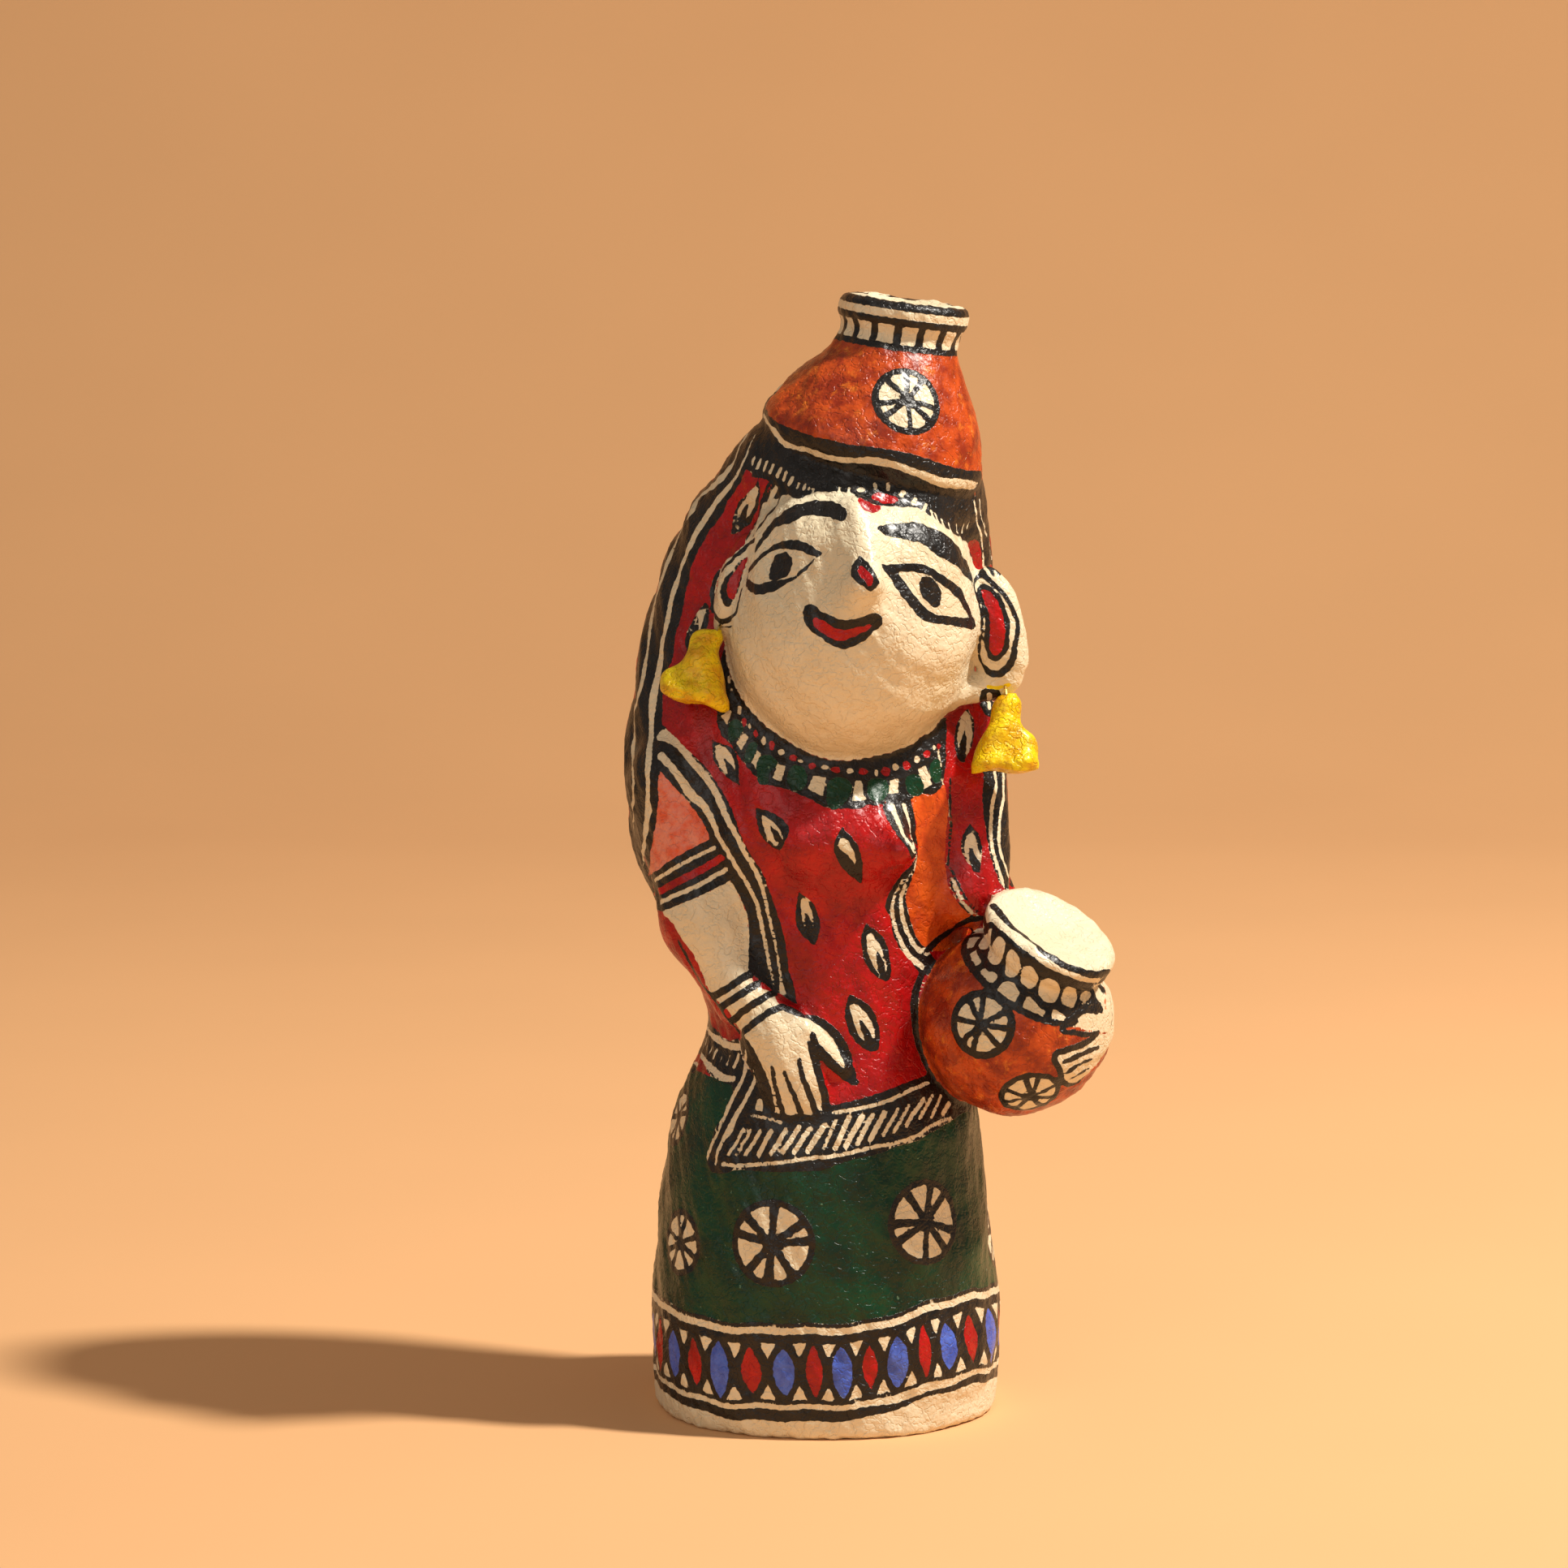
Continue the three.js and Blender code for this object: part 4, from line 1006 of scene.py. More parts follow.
def ear_paint():
    """Her right ear against the veil, the corner of hair and veil by her left ear, and that ear."""
    left_ring = [
        (41.7, 215.4, 0.65), (44.2, 213.3, 0.65), (46.3, 210.8, 0.65), (47.9, 207.9, 0.65),
        (49.2, 204.6, 0.65), (49.2, 201.7, 0.7), (48.5, 198.3, 0.8), (48.1, 195.8, 0.9), (46.7, 192.9, 0.95),
        (44.2, 191.3, 0.95), (42.1, 191.7, 0.9), (40.2, 193.8, 0.6), (39.3, 196.3, 0.4), (39.4, 199.2, 0.4),
        (39.9, 202.5, 0.4), (40, 205.4, 0.4), (39.4, 208.8, 0.4), (38.5, 212.1, 0.45), (38, 214.6, 0.5),
        (39.2, 216.5, 0.55), (41, 216.2, 0.6), (41.7, 215.4, 0.65),
    ]
    left_inner = [
        (40.2, 214.6), (42.5, 213.4), (45, 210.9), (46.2, 207.9), (47.3, 204.6), (47.1, 201.5), (46.9, 198.1),
        (45.3, 195.6), (43, 194.5), (41.2, 196.5), (40.5, 200), (40.8, 203.3), (40.5, 206.7), (39.5, 210),
        (38.7, 212.8),
    ]
    return [
        Area("cream", [
            (-18.5, 226.4), (-22.5, 222.9), (-25.8, 219.8), (-28.7, 216.5), (-29.8, 212.9), (-29.6, 210),
            (-29.2, 206.8), (-27.1, 204.2), (-24.6, 204.6), (-23, 206.4), (-21.9, 210), (-21, 213.3),
            (-20, 218),
        ]),
        Line("ink", [
            (-18.5, 225.8), (-22.5, 222.3), (-25.8, 219.2), (-28.1, 216.3), (-29.2, 212.9), (-29, 210.4),
        ], 0.6),
        Line("ink", [
            (-29, 210.2, 0.6), (-28.8, 207.1, 0.75), (-27.1, 204.8, 0.75), (-25, 205.4, 0.7),
            (-23.5, 206.7, 0.6), (-22.5, 210, 0.5), (-21.7, 213.3, 0.4),
        ]),
        Area("ink", [
            (-20.4, 221.7), (-24.2, 217.9), (-26.5, 215), (-27.1, 212.9), (-26.7, 210.4), (-25.2, 208.5),
            (-24, 210), (-22.5, 213.3), (-21.5, 216.7), (-20.4, 220.4),
        ]),
        Area("red", [
            (-20.4, 221.4), (-22.9, 218.3), (-24.8, 215.8), (-25.4, 213.3), (-25.1, 211.2), (-24, 210.6),
            (-22.9, 213.3), (-21.9, 216.3), (-20.9, 219.2),
        ]),
        Line("ink", [(-26.9, 203.3), (-24.4, 203.5)], 0.25),
        Area("ink", [
            (34.8, 227.1), (36.3, 228.3), (38.4, 240), (38.4, 240), (42, 244), (43.2, 232), (44.6, 224),
            (45, 217), (45, 217), (41.7, 215.4), (39.2, 217.3), (39.9, 219), (37.5, 220.6), (36.2, 224.6),
        ]),
        Area("red", [
            (36.3, 225.2), (37.9, 226), (39, 225.4), (39.8, 222.1), (40, 219), (40, 219), (38.5, 219.6),
            (37.7, 220.8), (36.7, 223.3),
        ]),
        Line("cream", [
            (37.9, 236), (38.1, 233.7), (39, 229.5), (39.9, 225.8), (40.3, 222), (40.5, 219), (41.8, 217.2),
            (43, 215.5),
        ], 0.45),
        Line("cream", [
            (39.2, 236.3), (39.5, 233.7), (40.3, 229.5), (41.7, 225.8), (42, 223), (42.9, 219.2),
            (43.8, 216.3),
        ], 0.4),
        Area("cream", [(x, z) for x, z, _ in left_ring]),
        Line("ink", left_ring),
        Area("ink", left_inner),
        Area("red", [
            (40, 212.9), (41.7, 212.7), (43.8, 210.4), (45, 207.5), (45.8, 204.2), (45.8, 200.4),
            (45.2, 197.5), (43.3, 196), (42.1, 197.5), (41.9, 200.8), (42.1, 204.2), (41.7, 207.1),
            (40.6, 210),
        ]),
        Line("yellow", [(41.7, 187.9), (44.4, 187.7), (47, 188.5)], 0.4),
    ]


def sleeve_paint():
    """The salmon sleeve with its bands, the bare arm, the bangles and her right hand."""
    bangles = [
        [(-29.4, 107.1), (-25.9, 109), (-22.6, 111.3), (-19, 113.5)],
        [(-27, 104.4), (-24.7, 106), (-21.8, 107.9), (-17.6, 110.6)],
        [(-24.2, 100.7), (-21.8, 102.9), (-18.4, 105.4), (-13.4, 108.1)],
        [(-21.7, 97.6), (-19.3, 99.6), (-15.5, 102.5), (-10.9, 104.8)],
    ]
    hand_lines = [
        [
            (-10.9, 104.4, 0.8), (-9, 103.5, 1), (-5.8, 102.2, 0.9), (-2, 100.8, 1), (1, 98.7, 1.1),
            (3.6, 95.6, 1.2), (5.3, 91.5, 1.4), (6.6, 87, 1.3), (7.2, 84.5, 0.8),
        ],
        [(-3.4, 97.1, 0.8), (-2.6, 94.2, 1.2), (0.3, 90.8, 1.3), (4.5, 86.7, 1.3), (7.8, 84.6, 0.9)],
        [(-4.2, 95, 0.7), (-2.6, 90, 1.1), (-1, 84, 1.1), (0, 79.5, 1.1), (0.2, 76, 1)],
        [(-13.9, 88.5, 0.55), (-13.2, 84.5, 0.65), (-12.2, 80, 0.7), (-11.2, 76.5, 0.8)],
        [(-10.7, 87.3, 0.5), (-9.5, 83.8, 0.6), (-7.6, 79.6, 0.7), (-6.1, 75, 0.8)],
        [(-6.8, 90.4, 0.6), (-6.1, 86.3, 0.7), (-4.3, 81.7, 0.8), (-2.2, 75.8, 0.9)],
        [
            (-21.8, 97.1, 0.8), (-19.3, 92.9, 0.9), (-17.2, 88.8, 0.9), (-15.5, 84.6, 0.9), (-14.3, 80, 0.9),
            (-13.8, 77.5, 0.8),
        ],
        [(-19.7, 76.7, 0.5), (-16, 76.3, 0.5), (-12.2, 75.8, 0.5)],
    ]
    return [
        Area("salmon", [
            (-42.8, 166.2), (-42.8, 166.2), (-38.4, 161.2), (-34.7, 157), (-31.3, 152), (-29.9, 148.3),
            (-29.9, 148.3), (-33, 146.8), (-37.2, 144.5), (-41.3, 142), (-44.3, 139.1), (-45.9, 137.8),
            (-45.9, 137.8), (-45.1, 144.9), (-43.8, 152.4), (-43.2, 159.5), (-43.3, 163.5),
        ]),
        Area("ink", [
            (-46.4, 138), (-41.3, 141.3), (-37.2, 144), (-33, 146.3), (-28.6, 148.2), (-26.4, 143.4),
            (-24.4, 139.9), (-24.6, 137.6), (-28.8, 135.3), (-32.2, 133.6), (-37.2, 131.5), (-42.2, 129.4),
            (-46.8, 133),
        ]),
        Line("cream", [(-45.3, 136.9), (-40.5, 139.9), (-35.5, 142.8), (-28.6, 146.2)], 0.5),
        Line("red", [(-44.2, 134), (-38.7, 137), (-32.6, 140.1), (-26.9, 143.5)], 0.95),
        Line("cream", [(-42.8, 131.8), (-38, 134.1), (-33, 136.2), (-28.8, 138.7), (-25.5, 140.5)], 0.6),
        Area("cream", [
            (-42.6, 129.3), (-42.6, 129.3), (-37.2, 131.5), (-32.2, 133.6), (-28.8, 135.3), (-24.6, 137.6),
            (-24.6, 137.6), (-22.2, 132.9), (-20.5, 129.2), (-19.9, 125.4), (-19.9, 116.7), (-20, 115),
            (-19.3, 113.3), (-18, 110.4), (-13.8, 107.9), (-11.3, 104.6), (-9, 103.5), (-14, 96),
            (-21.8, 97.1), (-21.8, 97.1), (-23.8, 101), (-26.5, 104.6), (-29.5, 107.3), (-30.9, 110),
            (-32.2, 113.3), (-33.6, 116.7), (-34.7, 118.8), (-37.2, 122.1), (-39.7, 126.2),
        ]),
        Line("ink", [(-38.6, 122, 0.3), (-35.6, 117, 0.55), (-33, 111.4, 0.6), (-30.6, 108.4, 0.7)]),
        Line("ink", [(-30.6, 108.6), (-27.2, 103.8), (-24.7, 100.4), (-21.9, 97.2)], 0.55),
        Area("cream", [
            (-21.8, 97.1), (-21.8, 97.1), (-19.3, 92.9), (-17.2, 88.8), (-15.5, 84.6), (-14.3, 80),
            (-13.8, 76), (-13.8, 76), (0.2, 76), (0.2, 76), (0, 79.5), (-1, 84), (-2.6, 90), (-4.2, 95),
            (-4.2, 95), (-3.4, 97.1), (-3.4, 97.1), (-2.6, 94.2), (0.3, 90.8), (4.5, 86.7), (7.2, 84.5),
            (7.2, 84.5), (6.6, 87), (5.3, 91.5), (3.6, 95.6), (1, 98.7), (-2, 100.8), (-5.8, 102.2),
            (-9, 103.5), (-10.9, 104.4),
        ]),
    ] + [Line("ink", points, 0.95) for points in bangles] + [Line("ink", points) for points in hand_lines]


def pot_paint():
    """Wheels and bands of the held pot and the head pot, and her left hand on the held one."""
    patches = [
        [(42.7, 125), (42.9, 124.2), (41.9, 120), (40, 119.6), (39.6, 120.8), (40.8, 122.5)],
        [(44.6, 122.9), (46.4, 121), (45.2, 116.3), (44, 115.4), (42.1, 116.7), (42.1, 118.3)],
        [(47.7, 119.4), (50.3, 116.7), (49.6, 112.9), (47.1, 112.3), (46.5, 114.2)],
        [(51.9, 115.2), (54.8, 113.1), (53.8, 109.4), (51.7, 109.8), (50.5, 111.5)],
        [(56.7, 111.9), (60.6, 110), (59.6, 106), (57.5, 105.5), (55.8, 106.7), (55, 108.1)],
        [(62.3, 109.4), (64.7, 109.1), (64.4, 104.6), (62.7, 104.4), (61, 106.2)],
        [(66.5, 108.3), (68.4, 108.3), (68.5, 107), (67.1, 105.8), (65.8, 106.2)],
        [(67.1, 105.6), (69.8, 104.6), (68.5, 104.2), (66, 105.2)],
        [(69.6, 110.4), (71.7, 107.1), (71, 105.6), (69.6, 107.9)],
    ]
    knuckles = [
        [
            (71.3, 103.8, 1), (66.7, 103.8, 1.2), (64.2, 102.1, 1.2), (61.7, 99.4, 0.8), (61.3, 98.1, 0.7),
            (64.2, 97.7, 0.7), (67.9, 97.1, 0.7), (70.8, 97.7, 0.5),
        ],
        [
            (70.6, 97.5, 0.7), (67.9, 95.2, 0.9), (63.8, 93.5, 0.9), (60, 92.1, 0.9), (59.4, 90.8, 0.9),
            (60.8, 87.5, 0.8), (62.1, 84.2, 0.7), (65, 84.2, 0.5), (67.5, 86.3, 0.3),
        ],
        [(70.8, 93.8, 0.6), (67.5, 92.5, 0.7), (63.3, 90.4, 0.8), (61.7, 90, 0.5)],
        [(69, 90.6, 0.4), (65.8, 89.2, 0.6), (63.3, 87.5, 0.7), (62.5, 86.9, 0.4)],
        [(68.5, 88.3, 0.3), (65.4, 86.5, 0.5), (63.3, 85.4, 0.3)],
    ]
    return [
        Line("ink", [
            (24.6, 112.5, 1), (23.3, 108.3, 1.1), (22.9, 103.3, 1.1), (23.5, 98.3, 1.1), (24.6, 93.8, 1.1),
            (26.3, 89.6, 1.1), (28.8, 85.4, 1.1), (31.7, 81.7, 1), (35.8, 78.3, 0.9), (40, 76.7, 0.7),
        ]),
        Part("clay", "hip_pot", "head_pot"),
        Part("cream", "left_hand"),
        PotNecks(),
        Area("ink", [
            (42.9, 127), (46.7, 123.5), (50, 120.5), (53.3, 118), (57.5, 114.7), (61.7, 113), (65.8, 111.2),
            (70.5, 110.3), (71.5, 105), (66, 102.5), (63.3, 101.3), (61.7, 102.3), (59.6, 103.6),
            (56.3, 103.6), (53.3, 106.8), (50.4, 108.1), (48.3, 111), (45.8, 111), (43.8, 113.5), (41.7, 114),
            (39.2, 118.5), (38.5, 121), (40.5, 123.5),
        ]),
    ] + [Area("cream", patch) for patch in patches] + [
        Line("ink", [
            (43.4, 131), (46.7, 127.1), (49.2, 124.6), (52.9, 122.1), (56.7, 118.8), (60.8, 115.8),
            (65, 114.2), (69.2, 112.9), (73.2, 113.4),
        ], 1),
        Line("cream", [
            (42.4, 128.4), (45, 125.6), (48.3, 123.3), (51.7, 120.4), (55.4, 117.3), (59.6, 115),
            (64.2, 112.9), (67.9, 111.3), (71, 111.1),
        ], 0.6),
        Wheel((40.2, 99.8), 8.9, 2, 1.6, 0.75, 8),
        Wheel((53.3, 80.8), 8.2, 1.6, 1.4, 0.7, 20),
        Area("cream", [
            (73.4, 103.8), (70.8, 102.7), (67.9, 101.7), (64.4, 99.4), (64.4, 99.4), (67.5, 98.3),
            (71.3, 97.9), (74, 98),
        ]),
        Area("cream", [
            (71.5, 97.5), (67.9, 95.2), (63.8, 93.5), (60, 92.1), (59.4, 90.8), (60.8, 87.5), (62.1, 84.2),
            (65, 84.2), (67.5, 86.3), (71, 90), (74, 96),
        ]),
    ] + [Line("ink", points) for points in knuckles] + [
        Line("ink", [(73.6, 107.5), (74.3, 103), (74.2, 99.5)], 0.3),
        Wheel((20.8, 261.6), 9.2, 1.7, 1.5, 0.75, 6),
        Wheel(np.array([[-60.0, 6, 262]]), 8.4, 1.6, 1.4, 0.9, 15, np.array([[1.0, 0, 0]])),
    ]


class Skirt:
    """The green skirt below the veil's hem, and the hem's cream stripes and bars where it goes
    round the back. The hem's height is read from a short table of azimuths."""

    HEM = [(-180, 84), (-120, 87), (-90, 89.6), (-60, 89.6), (60, 88), (90, 79), (120, 80), (180, 84)]

    def lay(self, skin):
        x, y, z = skin.p.T
        azimuth = np.degrees(np.arctan2(x, -y))
        over = z - np.interp(azimuth, *np.transpose(self.HEM))
        gown = skin.own("gown", "bust", "left_shoulder", "right_arm", "left_arm", "right_hand")
        skin.lay("green", np.maximum(over, gown))
        back = np.maximum(gown, np.where(x < 0, -9, 2) - y)
        skin.lay("ink", np.maximum(np.abs(over - 5.5) - 6.6, back))
        skin.lay("cream", np.maximum(np.minimum(np.abs(over - 1.5), np.abs(over - 9.7)) - 0.8, back))
        bar = np.abs((azimuth * 0.62 + over * 0.25) % 2.6 - 1.3) - 0.6
        skin.lay("cream", np.maximum(np.maximum(bar, np.abs(over - 5.6) - 2), back))


class PotNecks:
    """Both pots' necks: cream, with an ink lip, an ink ring and foot, and upright ink bars."""

    def lay(self, skin):
        for centre, axis, top, ring, foot, step in (
            (HEAD_NECK_AT, leaning(NECK_LEAN), 38.9, 34.9, 28.5, 22.5),
            (HIP_NECK_AT, unit(HIP_NECK_WAY), 24.4, 21.6, 14, 24),
        ):
            q = skin.p - centre
            h = q @ axis
            r = length(q - h[:, None] * axis)
            side = unit(np.cross(axis, [0, -1, 0]))
            azimuth = np.degrees(np.arctan2(q @ -side, q @ np.cross(side, axis)))
            here = np.maximum(np.maximum(foot - h, r - 21), skin.own("head_pot" if top > 35 else "hip_pot"))
            skin.lay("cream", here)
            skin.lay("ink", np.maximum(np.abs(h - foot) - 0.75, np.maximum(r - 21, 10 - h)))
            skin.lay("ink", np.maximum(np.abs(h - ring) - 0.9, here))
            skin.lay("ink", np.maximum(np.maximum(np.abs(h - top) - 1.05, 13 - r), here))
            off = r * np.abs(np.sin(np.radians((azimuth - 4 + step / 2) % step - step / 2)))
            skin.lay("ink", np.maximum(np.maximum(off - 1, h - ring), here))


class HeadPotFoot:
    """The black foot of the head pot where it goes round the back of the veil. The ink above its cream stripe
    is partly painted shadow under the belly.
    """

    def lay(self, skin):
        h = (skin.p - HEAD_BELLY_AT) @ leaning(POT_LEAN)
        back = np.maximum(skin.own("head_pot", "hair", "gown"), np.maximum(4 - skin.p[:, 1], -9 - h))
        skin.lay("ink", np.maximum(h - 1.8, back))
        skin.lay("cream", np.maximum(np.abs(h + 1.6) - 0.9, back))


class Border:
    """The hem border: between two cream stripes stands a row of pointed ovals, red and blue in
    turn, with cream triangles between their points. Heights and turns are read from tables."""

    STRIPE = [
        (-180, 30), (-90, 28.75), (-52, 28.5), (-32, 27.7), (0, 28.5), (20, 30.2), (36, 32.5), (60, 33.4),
        (90, 30.2), (180, 30),
    ]
    OVALS = [
        (-180, -17), (-92.4, -8), (-82, -7), (-72, -6), (-59.9, -5), (-48.6, -4), (-38.2, -3), (-26.3, -2),
        (-14.4, -1), (-4.1, 0), (5.4, 1), (15, 2), (24.6, 3), (34.2, 4), (43.8, 5), (54.9, 6), (68.8, 7),
        (82, 8), (180, 17),
    ]

    def lay(self, skin):
        x, y, z = skin.p.T
        azimuth = np.degrees(np.arctan2(x, -y))
        low = z - np.interp(azimuth, *np.transpose(self.STRIPE))
        low += 0.35 * np.sin(azimuth * 0.11) + 0.25 * np.sin(azimuth * 0.31)
        count = np.interp(azimuth, *np.transpose(self.OVALS))
        whole = np.round(count)
        blue = whole % 2 == 1
        skin.lay("cream", low + 22)
        skin.lay("ink", np.maximum(low - 2, -23.2 - 0.4 * np.cos(np.radians(azimuth + 10) * 3) - low))
        skin.lay("cream", np.abs(low) - 0.9)
        bulge = 0.55 * np.exp(-(((azimuth - 34) / 16) ** 2))
        skin.lay("cream", np.abs(low + 19.8 + bulge) - 0.7 - bulge)
        width = 8.2 * np.hypot(x, y) / 44
        along = (count - whole) * width
        up = low + 10.6
        half = np.where(blue, 2.75, 2.4) + 0.25 * np.sin(whole * 2.7)
        tall = 6.7 + 0.7 * np.sin(whole * 1.9 + 1)
        oval = np.abs(along + 0.06 * up) / half + (np.abs(up) / tall) ** np.where(blue, 2.4, 1.6) - 1
        oval *= half * 0.85
        skin.lay("red", np.where(blue, FAR, oval))
        skin.lay("blue", np.where(blue, oval, FAR))
        corner = np.maximum(width / 2 - np.abs(along) - 0.5 * (np.abs(up) - 3.4), np.abs(up) - 7.4)
        skin.lay("cream", np.maximum(corner, 1.1 - oval))


def skirt_paint():
    """Wheels scattered over the skirt, those at the back thrown from behind."""
    strokes = [
        Wheel((-14, 41.8), 11.2, 1.7, 2.2, 1.05, 3),
        Wheel((26.2, 47.5), 10.9, 1.6, 2, 1, 12),
        Wheel((-37.9, 42.1), 8.6, 1.6, 1.7, 0.75, 20),
        Wheel((-38.2, 75.4), 7.7, 1.5, 1.5, 0.7, 30),
    ]
    # Azimuth in degrees, height, radius and turn of each wheel that is thrown from outside.
    round_the_back = (
        (92, 45, 10, 8), (142, 40, 10.6, 20), (194, 46, 10.4, 2), (240, 38, 9.6, 33), (168, 66, 8, 14),
        (214, 68, 8.2, 25), (118, 68, 7.8, 5),
    )
    for degrees, z, radius, turn in round_the_back:
        out = np.array([[math.sin(math.radians(degrees)), -math.cos(math.radians(degrees)), 0]])
        strokes.append(Wheel(out * 80 + (0, 0, z), radius, turn=turn, way=-out))
    return strokes


def all_strokes():
    """Every stroke on the figure, in order, with each line's place on the skin found."""
    red = ("gown", "bust", "left_shoulder", "right_arm", "left_arm", "right_hand")
    strokes = [Part("red", *red), Part("ink", "hair")]
    strokes += veil_paint() + leaf_paint() + necklace_paint() + sleeve_paint() + pot_paint() + [HeadPotFoot()]
    strokes += hair_paint() + face_paint() + ear_paint() + skirt_paint() + [Border()]
    lines = [stroke for stroke in strokes if isinstance(stroke, Line)]
    start, way = sight_lines(np.concatenate([line.flat[:, :2] for line in lines]))
    far = first_hit(start, way, 108)
    places = np.where(far[:, None] < 106, start + way * far[:, None], np.nan)
    ends = np.cumsum([len(line.flat) for line in lines])[:-1]
    for line, place in zip(lines, np.split(places, ends)):
        path = np.column_stack([place, np.maximum(line.flat[:, 2], 0.05)])
        gap = length(np.diff(path[:, :3], axis=0))
        for some in np.split(path, np.flatnonzero(~(gap < 6)) + 1):
            if len(some) > 1 and np.isfinite(some).all():
                line.paths += [some[i : i + 9] for i in range(0, len(some) - 1, 8)]
    return strokes


def painted(strokes, p):
    """Field of each coat at the points p, one column for each of COATS."""
    skin = Skin(p)
    for stroke in strokes:
        stroke.lay(skin)
    return np.stack([skin.coats[name] for name in COATS], -1), skin.slope


# ---- finer triangles where the paint needs them ----
def split_edges(triangles, edges, sides, mark, p):
    """Halves the marked edges. A triangle with one, two or three of them becomes two, three or
    four, and a cut through two marked edges starts from the longer one."""
    long = length(p[edges[:, 0]] - p[edges[:, 1]])
    for _ in range(6):
        worst = np.take_along_axis(sides, long[sides].argmax(1)[:, None], 1)[:, 0]
        mark[worst[mark[sides].any(1)]] = True
    middle = np.full(len(edges), -1)
    middle[mark] = len(p) + np.arange(mark.sum())
    hit = mark[sides]
    count = hit.sum(1)
    made = [triangles[count == 0]]
    turn = np.where(count == 1, hit.argmax(1), (hit.argmin(1) + 1) % 3)
    order = (np.arange(3) + turn[:, None]) % 3
    a, b, c = np.take_along_axis(triangles, order, 1).T
    ab, bc, ca = np.take_along_axis(middle[sides], order, 1).T
    first_longer = np.take_along_axis(long[sides], order, 1)
    first_longer = first_longer[:, 0] >= first_longer[:, 1]
    for rows, corners in (
        (count == 1, ((a, ab, c), (ab, b, c))),
        (count == 2, ((ab, b, bc),)),
        ((count == 2) & first_longer, ((a, ab, c), (ab, bc, c))),
        ((count == 2) & ~first_longer, ((a, ab, bc), (a, bc, c))),
        (count == 3, ((a, ab, ca), (ab, b, bc), (ca, bc, c), (ab, bc, ca))),
    ):
        made += [np.stack(corner, -1)[rows] for corner in corners]
    return np.concatenate(made), edges[mark]


def refined(strokes, p, triangles, fine, finest):
    """Splits edges until those that a paint edge passes near are about as short as fine, or
    finest on the face and the small brushwork, and sharp bends are smooth too."""
    coats, out = painted(strokes, p)
    for turn in range(6):
        pairs = np.sort(triangles[:, [0, 1, 1, 2, 2, 0]].reshape(-1, 2), 1)
        edges, sides = np.unique(pairs, axis=0, return_inverse=True)
        sides = sides.reshape(-1, 3)
        a, b = edges.T
        long = length(p[a] - p[b])
        middle = (p[a] + p[b]) / 2
        face = (middle[:, 2] > 155) & (middle[:, 2] < 242) & (middle[:, 1] < -12) & (middle[:, 0] > -30)
        aim = np.where(face, finest, np.where(middle[:, 1] > 4, fine * 1.9, fine))
        near = np.minimum(np.abs(coats[a]), np.abs(coats[b])).min(1) < 0.62 * long
        bend = (out[a] * out[b]).sum(-1) / np.maximum(length(out[a]) * length(out[b]), 1e-9)
        mark = (near & (long > aim * 1.4)) | ((bend < 0.93) & (long > 1.1) & (turn < 3))
        if not mark.any():
            break
        triangles, split = split_edges(triangles, edges, sides, mark, p)
        fresh = settle(figure_field, (p[split[:, 0]] + p[split[:, 1]]) / 2, 1)
        more, slope = painted(strokes, fresh)
        p = np.concatenate([p, fresh])
        coats = np.concatenate([coats, more])
        out = np.concatenate([out, slope])
    return p, triangles, coats, out


# ---- meshes ----
def mesh_piece(name, p, triangles, replaced):
    """A smooth Blender piece in metres from corners in millimetres, in place of a CAD node."""
    mesh = bpy.data.meshes.new(name)
    mesh.from_pydata((p * MM).tolist(), [], triangles.tolist())
    mesh.polygons.foreach_set("use_smooth", np.ones(len(triangles), bool))
    piece = bpy.data.objects.new(name, mesh)
    bpy.context.scene.collection.objects.link(piece)
    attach(piece, "root")
    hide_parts(replaced)
    return piece


def kept_in(p, node):
    """The points p, drawn back into the box of a CAD node."""
    low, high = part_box(node)
    return np.clip(p, np.array(low) / MM + 0.02, np.array(high) / MM - 0.02)


def pressed(p, out, amount):
    """The points p moved along the way out by small lumps of a few millimetres across: three
    products of waves whose directions are turned against each other."""
    x, y, z = p.T
    lump = np.sin(x * 0.83 + z * 0.41) * np.sin(y * 0.77 - z * 0.52 + 2)
    lump += 0.7 * np.sin(x * 1.31 - y * 0.9 + z * 0.6)
    lump += 0.5 * np.sin(z * 1.63 + x * 0.35 + 1) * np.sin(x * 1.17 + y * 1.41)
    return p + out / np.maximum(length(out), 1e-9)[:, None] * (amount * lump)[:, None]


